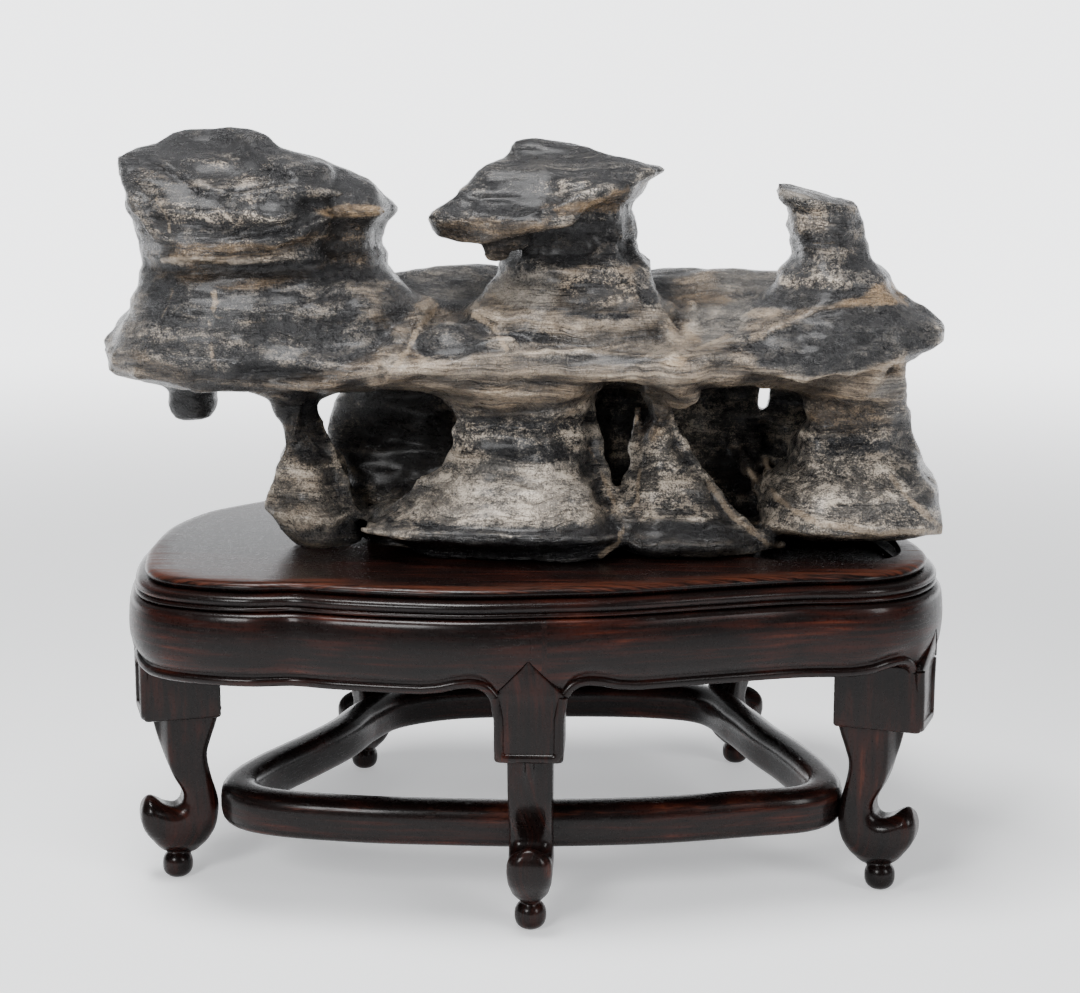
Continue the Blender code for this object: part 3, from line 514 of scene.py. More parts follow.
def largest_skin(mesh_data):
    """Keep only the biggest connected surface."""
    unseen = set(mesh_data.verts)
    groups = []
    while unseen:
        stack = [unseen.pop()]
        group = list(stack)
        while stack:
            for edge in stack.pop().link_edges:
                for vertex in edge.verts:
                    if vertex in unseen:
                        unseen.remove(vertex)
                        stack.append(vertex)
                        group.append(vertex)
        groups.append(group)
    groups.sort(key=len)
    for group in groups[:-1]:
        bmesh.ops.delete(mesh_data, geom=group, context="VERTS")


# ------------------------------------------------------------- fine sizes
FINE_STEP = 2.2                 # grid step of the stone's finished skin
LEG_STEP = 0.85                 # grid step of the carved legs
OUTLINE_POINTS = 264            # round the board and the waist
PATH_POINTS = 1200              # round the path that the aprons follow
BEAD_HALF = 2.4                 # half width of the carved bead
BEAD_SIDES = 12
HOLLOW_ROUNDS = 12              # of smoothing, to find the stone's hollows for their painted shade
NOISE_CELLS = 32                # the noise repeats after this many bumps

# Ridges and hollows of the stone: (radius, fillet, points on it), in the final frame.
RIDGE_RISE = 1.9                # how far a ridge stands out of the stone
INWARD = (0.0, 0.97, -0.24)     # the way a ridge's rod is sunk
RIDGES = [
    # rims of the east skirt
    (3.2, 5, [(80, -84, 259), (104, -69, 263), (123, -64, 270), (141, -61, 278), (161, -52, 283),
              (180, -38, 283), (191, -37, 276), (201.4, -40, 268)]),
    (2.6, 4, [(114, -79, 253), (132, -76, 250), (155, -72, 252), (178, -68, 258), (194, -54, 263),
              (201.4, -41, 266)]),
    # ribs under it
    (2.4, 5, [(172, -70, 258), (167, -60, 246), (161, -49, 234)]),
    (2.8, 5, [(180, -62, 255), (181, -51, 243), (185, -36, 223), (192, -32, 206)]),
    # front edge of the shelf, and the knob below it
    (2.2, 4, [(-67, -92, 249), (-54, -94, 252), (-40, -93, 254), (-22, -91, 257), (-7, -86, 258.5),
              (13, -82, 259.5), (30, -80, 259.5), (48, -83, 258), (61, -88, 257), (72, -89, 257),
              (87, -84, 258.5), (99, -79, 258), (107, -78, 257), (114, -79, 254)]),
    (3.6, 6, [(68, -88, 251), (74, -84, 246), (80, -76, 240)]),
    # creases from that edge up to the west tower
    (2.6, 6, [(-54, -93, 253), (-57, -86, 258), (-55, -75, 264), (-51, -55, 272), (-48, -25, 280)]),
    (2.0, 5, [(-67, -92, 250), (-63, -82, 260), (-58, -68, 267), (-53, -56, 273)]),
    # foot of the middle tower, and its ribs down to the edge
    (2.6, 6, [(-20, -57, 277), (-9, -67, 273), (10, -70, 270.5), (29, -70, 269), (47, -68, 270),
              (62, -60, 275), (72, -35, 279)]),
    (2.6, 6, [(64, -57, 279), (70, -58, 269), (76, -80, 260)]),
    (2.2, 6, [(82, -25, 280), (81, -50, 268), (78, -82, 260)]),
    # edges of the left pillar
    (2.2, 5, [(-109, -43, 233), (-112, -44, 218), (-118, -48, 199), (-125, -47, 184)]),
    (2.6, 5, [(-101, -30, 220), (-96, -34, 206), (-89, -36, 191), (-85, -41, 183)]),
    # rims of the front foot and of the middle foot
    (2.0, 3, [(-74, -82, 176), (-45, -98, 177), (-17, -104, 178), (11, -105, 177),
              (36, -97, 175), (46, -84, 174)]),
    (2.0, 3, [(50, -73, 177), (67, -79, 180), (86, -76, 180), (105, -67, 174), (118, -60, 168)]),
    # rim of the west skirt
    (2.6, 4, [(-201.2, -46, 262), (-191.5, -71, 255), (-178, -83, 250), (-149, -89, 245), (-121, -89, 244),
              (-87, -93, 247), (-67, -95, 253)]),
    # edges of the west cap
    (2.4, 5, [(-191, -38, 350), (-187, -55, 340), (-181, -68, 328), (-170, -75, 313)]),
    (2.4, 4, [(-168, -75, 313), (-135, -77, 310), (-115, -75, 312), (-103, -71, 316), (-91, -63, 323)]),
    (2.2, 4, [(-170, -53, 346), (-148, -67, 335), (-133, -73, 331), (-103, -71, 334), (-84, -60, 333)]),
    (1.6, 3, [(-146, -22, 363), (-134, -35, 357), (-126, -44, 352), (-118, -55, 347), (-107, -66, 341),
              (-99, -66, 335), (-93, -60, 328)]),
    # lower edge of the middle cap
    (2.2, 3, [(-38, -56, 321), (-9, -73, 322), (12, -73, 325), (38, -64, 334), (62, -41, 343)]),
]
VEIN_WIDTH = 3.3                # of the brown veins along the pillars' ridges
VEIN_TOP = 202.0                # above this the ridges are bare
PILLAR_RIDGES = [
    # fork between the front and middle pillars
    (2.6, 6, [(33, -38, 226), (36, -43, 213), (39, -48, 200), (43, -57, 190), (47, -65, 183),
              (50, -71, 178)]),
    (2.4, 4, [(50, -71, 178), (47, -78, 171), (39, -84, 165)]),
    (2.4, 6, [(56, -38, 228), (55, -42, 211), (54, -52, 196), (52, -62, 186), (50, -70, 179)]),
    # right edge of the middle pillar
    (2.6, 5, [(71, -50, 228), (78, -46, 212), (84, -48, 202), (90, -53, 195), (95, -57, 189), (100, -59, 182),
              (106, -61, 177), (117, -60, 168), (126, -51, 164.5)]),
    # edges at the back of the east arch
    (3.0, 7, [(106, 12, 206), (113, 5, 193), (118, -5, 186), (122, -30, 183), (127, -58, 181)]),
    (2.6, 6, [(109, 14, 219), (115, 17, 205), (121, 10, 192)]),
    # rims of the east foot
    (2.2, 4, [(122, 8, 197), (121, -25, 190), (124, -50, 187), (131, -66, 184), (142, -79, 180),
              (166, -80, 177), (190, -69, 175), (201.6, -58, 173)]),
    (2.0, 4, [(171, -50, 207), (177, -54, 199), (183, -61, 192), (192, -66, 184), (201.6, -58, 175)]),
]
HOLLOWS = [
    # slit of daylight between the back walls: three rods, one above the other
    (2.6, 1, [(119.6, -10, 235.8), (126.7, 100, 222.5)]),
    (2.4, 1, [(119.2, -10, 231.8), (126.2, 100, 218.1)]),
    (2.1, 1, [(118.5, -10, 227.8), (125.4, 100, 213.7)]),
    # undercut below the shelf's edge
    (4.5, 4, [(64, -88, 240), (82, -90, 241.5), (102, -86, 243), (126, -80, 242), (144, -72, 238)]),
    # groove between the front and middle pillars
    (3.0, 5, [(45, -50, 228), (45, -52, 212), (46, -58, 198), (48, -66, 188)]),
    # dents in the west tower, above its skirt and in it
    (3.5, 6, [(-174, -86, 302), (-140, -88, 299), (-110, -84, 301), (-92, -72, 306)]),
    (3.0, 6, [(-120, -92, 268), (-95, -92, 266), (-76, -84, 268)]),
    # hollow on the east skirt, and one below it
    (5.0, 7, [(100, -82, 268), (128, -80, 262), (156, -80, 266)]),
    (6.0, 8, [(160, -90, 216), (178, -70, 216), (192, -40, 218)]),
    # neck of the middle tower
    (4.0, 6, [(-20, -66, 300), (6, -72, 300), (34, -68, 300)]),
]

# Marks on the stone, in the final frame.  Each: width, then points on the stone.
PALE_LINES = [
    # west tower
    (3.0, [(-142, -82, 288), (-141, -85, 284), (-142, -87, 280)]),
    (1.5, [(-143, -87, 275), (-143, -89, 270), (-142, -92, 263), (-140, -95, 258), (-140, -94, 251)]),
    (0.6, [(-163, -77, 289), (-164, -81, 281), (-169, -82, 273), (-173, -85, 266), (-175, -87, 260)]),
    (0.8, [(-146, -22, 364), (-134, -35, 358), (-126, -44, 353), (-118, -55, 348), (-107, -66, 342),
          (-99, -66, 336), (-93, -60, 329), (-90, -60, 325), (-90, -57, 317), (-92, -52, 307),
          (-90, -58, 298)]),
    (0.8, [(-101, -65, 342), (-98, -65, 336), (-95, -62, 330)]),
    (1.6, [(-172, -70, 332), (-165, -77, 325), (-164, -76, 316)]),
    (1.0, [(-141, -87, 277), (-128, -88, 275), (-117, -83, 275)]),
    (1.6, [(-160, -77, 304), (-152, -79, 302), (-144, -76, 301), (-137, -75, 302)]),
    # shelf
    (3.0, [(-43, -26, 278), (-46, -42, 273), (-49, -72, 268), (-54, -92, 257), (-60, -93, 250)]),
    (2.6, [(76, -88, 258), (86, -74, 263), (98, -59, 266), (104, -62, 266)]),
    # east tower
    (1.4, [(132, -31, 310), (140, -46, 310), (150, -46, 310), (162, -29, 308)]),
    # pillars
    (1.6, [(32, -53, 212), (38, -45, 200), (43, -29, 187), (48, -56, 184)]),
    (1.8, [(90, -61, 194), (99, -48, 185), (107, -51, 177), (116, -46, 174), (128, -13, 154)]),
    (1.4, [(173, -50, 206), (179, -53, 199), (182, -61, 192), (190, -63, 186), (200, -57, 180)]),
    # under the east skirt
    (0.9, [(167, -53, 235), (174, -55, 240), (179, -52, 246)]),
    (0.9, [(163, -55, 237), (171, -58, 245), (178, -64, 253)]),
    # edges of the shelf and of the east skirt
    (2.6, [(-23, -57, 276), (-14, -65, 273), (-8, -81, 267), (-4, -82, 261)]),
    (1.0, [(101, -77, 257), (109, -77, 257), (115, -77, 252), (137, -72, 249)]),
    # fork of the front pillars
    (1.6, [(38, -38, 206), (43, -50, 190), (50, -67, 178), (43, -81, 169)]),
    (2.0, [(57, -57, 202), (56, -67, 189), (50, -69, 178)]),
]
DARK_LINES = [                  # (width, depth of the groove, points)
    # west tower
    (1.8, 1.1, [(-194, -38, 352), (-176, -53, 347), (-162, -60, 341), (-152, -67, 335),
              (-144, -70, 333), (-137, -70, 333), (-130, -68, 335), (-122, -68, 337), (-114, -69, 339),
              (-106, -69, 340)]),
    (2.0, 1.2, [(-166, -75, 314), (-155, -77, 313), (-144, -77, 313), (-133, -75, 313),
              (-121, -77, 316), (-110, -78, 319), (-99, -68, 321), (-91, -61, 324)]),
    (2.0, 1.3, [(-159, -77, 302), (-145, -76, 300), (-134, -74, 298), (-122, -71, 297),
              (-112, -67, 298), (-100, -65, 299), (-92, -58, 302)]),
    (1.2, 0.4, [(-168, -69, 294), (-148, -80, 291), (-136, -81, 289), (-121, -78, 289),
              (-111, -72, 291), (-93, -60, 299)]),
    (1.4, 0.9, [(-151, -87, 279), (-135, -87, 278), (-124, -86, 277), (-113, -82, 278),
              (-102, -79, 281), (-92, -73, 285), (-80, -70, 283)]),
    (1.6, 0.3, [(-177, -86, 261), (-172, -90, 258), (-159, -90, 252), (-143, -93, 250),
              (-128, -92, 249), (-113, -90, 249), (-97, -92, 252), (-81, -94, 255), (-71, -86, 259),
              (-64, -75, 264)]),
    (1.8, 1.0, [(-90, -60, 324), (-83, -58, 323), (-80, -57, 326), (-74, -54, 324)]),
    # middle tower
    (1.8, 0.5, [(-42, -51, 320), (-32, -60, 322), (-18, -68, 323), (-4, -71, 324), (9, -72, 324),
              (16, -72, 325), (26, -70, 327), (39, -62, 334), (50, -52, 339), (56, -44, 343)]),
    (1.4, 0.9, [(-38, -25, 327), (-29, -53, 333), (-19, -57, 331), (-8, -57, 332), (-2, -57, 332)]),
    # shelf
    (1.8, 0.8, [(-46, -27, 279), (-49, -49, 275), (-52, -68, 267), (-57, -92, 257), (-62, -93, 250)]),
    (1.0, 0.5, [(-33, -92, 258), (-23, -89, 259), (-10, -88, 258), (3, -83, 260), (16, -78, 260),
              (37, -77, 261), (48, -77, 261), (57, -83, 260), (67, -88, 257), (76, -88, 257)]),
    # east tower
    (1.6, 0.7, [(107, -70, 263), (120, -65, 268), (131, -64, 273), (142, -63, 278), (154, -62, 280),
              (174, -52, 281), (186, -35, 279)]),
    (1.4, 0.3, [(111, -78, 253), (120, -76, 251), (135, -73, 250), (144, -70, 249), (156, -67, 250)]),
    (1.4, 0.8, [(130, -19, 308), (136, -43, 309), (150, -47, 309), (162, -32, 308)]),
    (2.6, 0.6, [(130, -20, 313), (136, -44, 313), (150, -46, 314), (161, -32, 311)]),
    (1.6, 0.8, [(148, -42, 325), (147, -44, 321), (147, -46, 315), (150, -46, 312)]),
    # pillars
    (2.0, 0.6, [(-44, -4, 228), (-34, -59, 231), (-18, -75, 233), (1, -78, 232), (19, -74, 233),
              (31, -65, 237)]),
    (2.2, 0.8, [(30, -66, 207), (36, -65, 194), (41, -58, 186), (47, -59, 179)]),
    (1.4, 0.3, [(-77, -47, 162), (-73, -24, 161), (-45, -95, 178), (-17, -101, 179), (11, -102, 180),
              (30, -94, 180), (42, -76, 178)]),
    (2.2, 0.1, [(-6, -85, 202), (1, -87, 201), (6, -90, 199), (13, -89, 199)]),
    (2.0, 0.1, [(-1, -92, 196), (3, -89, 200), (9, -88, 201), (12, -92, 197)]),
    (1.0, 0.2, [(54, -72, 180), (64, -76, 182), (79, -75, 181), (90, -73, 180), (98, -66, 178)]),
    (1.6, 0.3, [(74, -46, 215), (82, -35, 203), (90, -61, 194), (96, -59, 184)]),
    (1.4, 0.3, [(124, -41, 190), (127, -56, 187), (134, -69, 185), (143, -77, 183), (163, -76, 182),
              (184, -70, 181), (200, -57, 178)]),
    (0.9, 0.6, [(-117, -54, 186), (-107, -60, 186), (-95, -56, 186)]),
    (1.2, 0.4, [(-119, -31, 207), (-115, -51, 199), (-113, -55, 190)]),
    (1.6, 0.3, [(58, -80, 177), (76, -79, 177), (95, -75, 176), (108, -66, 172)]),
    (1.6, 0.3, [(53, -79, 170), (72, -85, 173), (95, -80, 172), (113, -65, 168)]),
]

# Sharp-edged faces of the stone: depth of their middle, then how light, how warm,
# how speckled and how banded they are, and their outline in X and Z.
# Some faces are painted shade: the neck under the middle cap and the feet of the front and middle pillars.
FACES = [
    # dark face of the west skirt
    (-79, (0.24, 0.1, 0.75, 0.35), [(-168, 293), (-136, 289), (-121, 289), (-111, 290), (-93, 298),
     (-86, 292), (-69, 272), (-65, 264), (-71, 259), (-81, 255), (-113, 249), (-143, 250), (-158, 253),
     (-172, 258), (-177, 263), (-175, 270), (-175, 294)]),
    # pale band below it
    (-88, (0.34, 0.52, 0.25, 1.0), [(-194, 259), (-177, 261), (-172, 258), (-158, 253), (-143, 250),
     (-113, 249), (-81, 255), (-65, 264), (-67, 253), (-82, 246), (-103, 243), (-153, 248), (-177, 253)]),
    # brown bands across the west tower
    (-72, (0.36, 0.72, 0.3, 0.9), [(-168, 295), (-152, 302), (-137, 302), (-133, 297), (-122, 296),
     (-101, 298), (-93, 301), (-94, 298), (-111, 291), (-121, 289), (-136, 289)]),
    (-72, (0.4, 0.72, 0.3, 0.9), [(-162, 309), (-131, 307), (-112, 309), (-95, 316), (-96, 312),
     (-111, 306), (-131, 304), (-149, 305), (-161, 306)]),
    # brown knob of the west lobe
    (-57, (0.58, 0.95, 0.4, 0.4), [(-90, 327), (-83, 328), (-77, 327), (-80, 324), (-90, 320)]),
    # left side of the west cap
    (-63, (0.36, 0.25, 0.6, 0.3), [(-183, 346), (-176, 346), (-166, 340), (-162, 328), (-165, 314),
     (-171, 297), (-177, 297), (-181, 313), (-184, 330)]),
    # underside of the middle cap
    (-63, (0.31, 0.58, 0.3, 1.0), [(-36, 320), (-4, 323), (10, 323), (16, 325), (14, 320), (10, 316),
     (2, 311), (-5, 304), (-10, 301), (-13, 303), (-16, 308), (-33, 308), (-36, 312)]),
    # painted shadow of the cap on the dark neck under it
    (-56, (0.1, 0.25, 0.6, 0.1), [(0, 309), (10, 316), (26, 317), (42, 320), (53, 327), (51, 315),
     (38, 301), (29, 301), (19, 299), (9, 303), (-1, 305)]),
    # brown edge of the middle cap
    (-63, (0.46, 0.98, 0.4, 0.9), [(17, 326), (40, 332), (51, 337), (52, 334), (40, 328), (19, 324)]),
    # pale foot of the middle tower
    (-70, (0.56, 0.36, 0.25, 0.8), [(-49, 268), (-46, 279), (-25, 281), (-16, 286), (-10, 282), (38, 276),
     (57, 275), (67, 282), (74, 258), (37, 261), (3, 260), (-10, 258), (-23, 260), (-45, 255)]),
    # dark faces in front of it
    (-76, (0.24, 0.12, 0.7, 0.8), [(-48, 266), (-38, 272), (-18, 274), (-15, 269), (-14, 263), (-22, 260),
     (-41, 259), (-46, 262)]),
    (-73, (0.16, 0.1, 0.9, 0.3), [(-3, 268), (3, 269), (12, 268), (15, 266), (1, 265)]),
    # dark band round the foot of the east tower
    (-50, (0.17, 0.03, 0.35, 0.3), [(112, 280), (154, 288), (164, 291), (164, 287), (149, 282), (111, 278)]),
    # pale and brown bands below it
    (-55, (0.50, 0.45, 0.3, 0.9), [(107, 274), (149, 282), (120, 268), (107, 263)]),
    (-50, (0.52, 0.92, 0.3, 0.7), [(149, 282), (164, 287), (176, 289), (186, 279), (174, 281), (154, 280),
     (142, 278)]),
    # dark face of the east skirt
    (-61, (0.20, 0.05, 0.45, 0.1), [(108, 263), (142, 278), (154, 280), (174, 281), (186, 279), (195, 274),
     (202, 264), (191, 264), (161, 252), (144, 250), (134, 250), (112, 254)]),
    # underside of the east skirt
    (-63, (0.54, 0.45, 0.2, 0.9), [(112, 253), (135, 249), (161, 251), (184, 261), (178, 250), (163, 236),
     (134, 242), (116, 248)]),
    # pale slope between the shelf and the east tower
    (-47, (0.5, 0.05, 0.25, 0.4), [(109, 283), (111, 278), (106, 274), (101, 266), (85, 262), (87, 267),
     (96, 276)]),
    # dark groove round the spire
    (-36, (0.15, 0.1, 0.6, 0.8), [(129, 312), (150, 313), (161, 311), (162, 307), (136, 308), (131, 307)]),
    # front pillar, and a speckled band across it
    (-62, (0.52, 0.22, 1.0, 0.3), [(-39, 218), (-18, 229), (31, 229), (32, 215), (31, 209), (-32, 213)]),
    (-73, (0.22, 0.05, 0.9, 0.6), [(-9, 215), (5, 216), (19, 215), (30, 211), (31, 207), (-9, 211)]),
    # painted shade on the feet of the front and middle pillars, below their rims
    (-78, (0.09, 0.15, 0.2, 0.9), [(-77, 162), (-73, 160), (-45, 178), (30, 180), (49, 178), (52, 171),
     (43, 162), (20, 163)]),
    (-72, (0.13, 0.2, 0.2, 1.0), [(54, 180), (64, 182), (79, 181), (98, 178), (109, 174), (118, 167),
     (94, 167), (54, 162), (43, 162)]),
    # neck of the left pillar
    (-48, (0.18, 0.3, 0.5, 0.3), [(-116, 236), (-104, 241), (-94, 240), (-102, 222), (-94, 201),
     (-103, 201), (-111, 207), (-116, 218)]),
    # edge of the east foot
    (-52, (0.22, 0.1, 0.4, 0.3), [(185, 190), (195, 193), (203, 191), (201, 184), (195, 184)]),
]
FACE_DEPTH = 38.0               # a face reaches this far either side of its depth

# Patches of colour on the stone: centre, half sizes along X and Z, then how
# light, how warm, how speckled and how banded the stone is there.
# Some patches are painted shade: under the west skirt, on the neck under the middle cap and in the recesses
# between the pillars.
PATCHES = [
    # west tower
    ((-184, -60, 330), 30, 40, 0.24, 0.12, 0.6, 0.3),
    ((-149, -32, 356), 42, 12, 0.20, 0.05, 0.35, 0.2),
    ((-141, -54, 345), 24, 8, 0.34, 0.20, 1.0, 0.2),
    ((-139, -64, 338), 28, 3, 0.58, 0.25, 0.6, 0.3),
    ((-132, -77, 325), 34, 8, 0.55, 0.28, 1.0, 0.2),
    ((-104, -71, 327), 17, 6, 0.16, 0.05, 0.8, 0.2),
    ((-140, -76, 308), 32, 4, 0.34, 0.75, 0.3, 1.0),
    ((-104, -66, 310), 14, 6, 0.34, 0.10, 1.0, 0.3),
    ((-147, -77, 302), 26, 2.2, 0.74, 0.35, 0.2, 0.6),
    ((-119, -72, 306), 15, 3.5, 0.66, 0.35, 0.5, 0.3),
    ((-136, -75, 295), 36, 3.5, 0.38, 0.75, 0.3, 0.8),
    ((-116, -79, 280), 50, 12, 0.24, 0.12, 0.9, 0.4),
    ((-107, -76, 286), 16, 5, 0.42, 0.15, 0.9, 0.2),
    ((-117, -90, 262), 30, 5, 0.44, 0.40, 0.9, 0.5),
    ((-88, -78, 268), 30, 6, 0.22, 0.08, 0.7, 0.3),
    ((-186, -70, 270), 13, 18, 0.45, 0.22, 0.4, 0.4),
    ((-166, -79, 285), 7, 9, 0.22, 0.10, 0.6, 0.2),
    ((-124, -91, 246), 62, 4.0, 0.18, 0.40, 0.2, 1.0),
    ((-85, -43, 340), 26, 12, 0.22, 0.06, 0.7, 0.1),
    ((-78, -57, 325), 15, 3.4, 0.62, 0.95, 0.3, 0.3),
    ((-82, -47, 308), 16, 11, 0.34, 0.55, 0.6, 0.4),
    ((-76, -54, 294), 8, 3, 0.05, 0.30, 0.2, 0.0),
    ((-58, -55, 283), 11, 12, 0.22, 0.25, 0.4, 0.3),
    # painted shade on the stub under the west skirt and around it
    ((-167, -24, 229), 18, 15, 0.06, 0.30, 0.3, 0.2),
    ((-174, 6, 224), 20, 16, 0.04, 0.20, 0.2, 0.2),
    # middle tower
    ((13, -37, 349), 46, 12, 0.24, 0.0, 0.25, 1.6),
    ((-9, -61, 328), 30, 6, 0.14, 0.05, 0.7, 0.3),
    ((19, -59, 336), 24, 3.5, 0.34, 0.12, 1.0, 0.2),
    ((33, -67, 327), 17, 3, 0.50, 0.95, 0.3, 0.8),
    ((-18, -71, 314), 25, 5.5, 0.36, 0.60, 0.3, 1.0),
    ((3, -72, 315), 8, 3.2, 0.60, 0.45, 0.6, 0.4),
    ((60, -40, 337), 8, 6, 0.50, 0.20, 0.8, 0.8),
    # painted shadow of the middle cap on its neck
    ((19, -55, 308), 24, 8, 0.07, 0.20, 0.4, 0.0),
    ((42, -55, 307), 16, 8, 0.18, 0.12, 0.9, 0.0),
    ((-4, -54, 288), 22, 11, 0.60, 0.08, 0.2, 0.1),
    ((38, -65, 289), 18, 9, 0.46, 0.35, 1.0, 0.3),
    ((38, -71, 274), 24, 4, 0.20, 0.08, 0.9, 0.3),
    ((61, -51, 290), 6, 13, 0.36, 0.15, 0.8, 0.2),
    # shelf
    ((20, -86, 251), 84, 7, 0.48, 0.38, 0.1, 1.3),
    ((-32, -81, 269), 20, 6, 0.30, 0.06, 0.6, 0.3),
    ((-18, -70, 271), 9, 3.4, 0.22, 0.10, 0.9, 1.0),
    ((22, -72, 264), 20, 4, 0.76, 0.42, 0.2, 0.4),
    ((6, -71, 269), 9, 3, 0.20, 0.05, 0.9, 0.3),
    ((6, -71, 269), 3.5, 1.2, 0.85, 0.20, 0.2, 0.0),
    ((-9, -83, 262), 8, 4, 0.74, 0.85, 0.2, 0.3),
    ((47, -68, 267), 18, 3.4, 0.62, 0.85, 0.2, 0.6),
    ((-56, -88, 256), 7, 4, 0.66, 0.30, 0.2, 0.5),
    ((38, -81, 258), 36, 1.6, 0.34, 0.20, 0.3, 0.6),
    ((-8, -87, 240), 44, 6, 0.58, 0.50, 0.2, 1.0),
    ((75, -88, 258), 9, 2, 0.76, 0.85, 0.1, 0.2),
    ((79, -46, 270), 16, 12, 0.56, 0.45, 0.2, 1.0),
    ((86, -17, 279), 18, 5, 0.42, 0.65, 0.2, 0.8),
    ((78, 36, 292), 16, 5, 0.26, 0.05, 0.3, 0.3),
    ((115, 11, 289), 22, 8, 0.48, 0.12, 0.2, 0.5),
    ((-39, 6, 286), 20, 9, 0.40, 0.08, 0.3, 0.3),
    # east tower
    ((138, -40, 333), 20, 3, 0.40, 0.0, 0.1, 0.5),
    ((138, -44, 321), 17, 6, 0.50, 0.32, 0.7, 0.2),
    ((152, -40, 324), 7, 7, 0.20, 0.15, 0.6, 0.2),
    ((143, -47, 310), 20, 4, 0.22, 0.15, 0.7, 0.9),
    ((142, -49, 300), 20, 6, 0.36, 0.15, 0.8, 0.2),
    ((135, -50, 291), 24, 3, 0.50, 0.25, 1.0, 0.4),
    ((146, -59, 285), 32, 3, 0.20, 0.05, 0.5, 0.3),
    ((175, -37, 287), 12, 5, 0.58, 0.90, 0.4, 0.6),
    ((93, -42, 272), 14, 10, 0.60, 0.10, 0.2, 0.3),
    ((116, -53, 277), 18, 2.4, 0.64, 0.50, 0.2, 0.5),
    ((155, -71, 266), 44, 9, 0.19, 0.05, 1.0, 0.1),
    ((115, -73, 261), 14, 5, 0.38, 0.28, 0.8, 0.4),
    ((196, -54, 268), 12, 4, 0.48, 0.12, 0.6, 0.3),
    ((166, -60, 244), 17, 8, 0.58, 0.12, 0.2, 0.6),
    ((134, -46, 239), 30, 4.5, 0.40, 0.62, 0.1, 1.0),
    ((94, -79, 258), 20, 2.5, 0.42, 0.30, 0.4, 0.7),
    # pillars
    ((-107, -59, 186), 22, 15, 0.52, 0.25, 0.5, 0.5),
    ((-111, -43, 218), 12, 14, 0.24, 0.35, 0.5, 0.3),
    # painted shade in the cave between the left and front pillars
    ((-64, -2, 207), 28, 30, 0.11, 0.40, 0.3, 0.2),
    ((-91, 6, 221), 7, 12, 0.42, 0.20, 0.5, 0.2),
    ((-4, -74, 222), 38, 8, 0.60, 0.22, 1.0, 0.5),
    ((-8, -90, 195), 60, 16, 0.66, 0.18, 0.6, 0.3),
    ((-3, -101, 180), 62, 1.4, 0.32, 0.10, 0.5, 0.8),
    # painted shade in the gap between the front and middle pillars
    ((37, 10, 206), 7, 18, 0.10, 0.45, 0.2, 0.1),
    ((72, -63, 203), 20, 19, 0.54, 0.18, 0.9, 0.3),
    # painted shade in the recess behind the middle pillar
    ((58, 10, 214), 10, 10, 0.12, 0.50, 0.3, 0.2),
    ((60, -50, 222), 12, 9, 0.34, 0.50, 0.6, 0.4),
    # painted shade at the back of the east arch
    ((109, 13, 191), 14, 12, 0.16, 0.50, 0.3, 0.3),
    ((158, -58, 196), 42, 16, 0.60, 0.18, 0.8, 0.4),
    ((159, -48, 213), 26, 3.5, 0.24, 0.10, 1.0, 0.3),
    ((154, -46, 227), 16, 8, 0.38, 0.55, 0.5, 0.4),
    ((186, -41, 212), 8, 20, 0.40, 0.12, 0.6, 0.4),
    ((127, 14, 222), 6, 15, 0.46, 0.20, 0.4, 0.2),
]
PATCH_DEPTH = 30.0              # half size of a patch along Y
EAST_LIMIT = 202.0              # beyond this the tips are drawn in
EAST_DRAW = 0.6                 # by this share of what lies beyond


# ------------------------------------------------------------ numpy helpers
def rise(low, high, value):
    """Smooth step from 0 at low to 1 at high."""
    share = np.clip((value - low) / (high - low), 0.0, 1.0)
    return share * share * (3.0 - 2.0 * share)


def soft_noise(points, size, seed):
    """Smooth random values from 0 to 1, in bumps about size mm across."""
    lattice = np.random.default_rng(seed).random((NOISE_CELLS,) * 3)
    at = points / np.array(size)
    base = np.floor(at).astype(int)
    share = at - base
    share = share * share * (3.0 - 2.0 * share)
    total = 0.0
    for corner in np.ndindex(2, 2, 2):
        cell = (base + corner) % NOISE_CELLS
        weight = np.prod(np.where(corner, share, 1.0 - share), axis=1)
        total = total + weight * lattice[tuple(cell.T)]
    return total


def rough_noise(points, size, seed, octaves=3):
    """Noise with ever finer bumps on top, centred on 0."""
    size = np.array(size, dtype=float)
    total = 0.0
    for octave in range(octaves):
        total = total + 0.5 ** octave * (soft_noise(points, size / 2 ** octave, seed + octave) - 0.5)
    return total


DEPTH_WEIGHT = np.array([1.0, 0.3, 1.0])


def line_distance(points, line):
    """Distance to a line on the stone; what lies behind it counts little."""
    nearest = np.full(len(points), 1e6)
    for start, end in zip(line, line[1:]):
        start = np.array(start, dtype=float) * DEPTH_WEIGHT
        way = np.array(end, dtype=float) * DEPTH_WEIGHT - start
        offset = points * DEPTH_WEIGHT - start
        share = np.clip(offset @ way / (way @ way), 0.0, 1.0)
        nearest = np.minimum(nearest, np.linalg.norm(offset - share[:, None] * way, axis=1))
    return nearest


def outline_distance(x, z, outline):
    """Distance to a closed outline, negative inside it."""
    nearest = np.full(x.shape, 1e6)
    inside = np.zeros(x.shape, dtype=bool)
    for (x0, z0), (x1, z1) in zip(outline, np.roll(outline, -1, axis=0)):
        run, climb = x1 - x0, z1 - z0
        share = np.clip(((x - x0) * run + (z - z0) * climb) / (run * run + climb * climb), 0.0, 1.0)
        nearest = np.minimum(nearest, np.hypot(x - x0 - share * run, z - z0 - share * climb))
        if climb:
            inside ^= ((z0 > z) != (z1 > z)) & (x < x0 + run * (z - z0) / climb)
    return np.where(inside, -nearest, nearest)


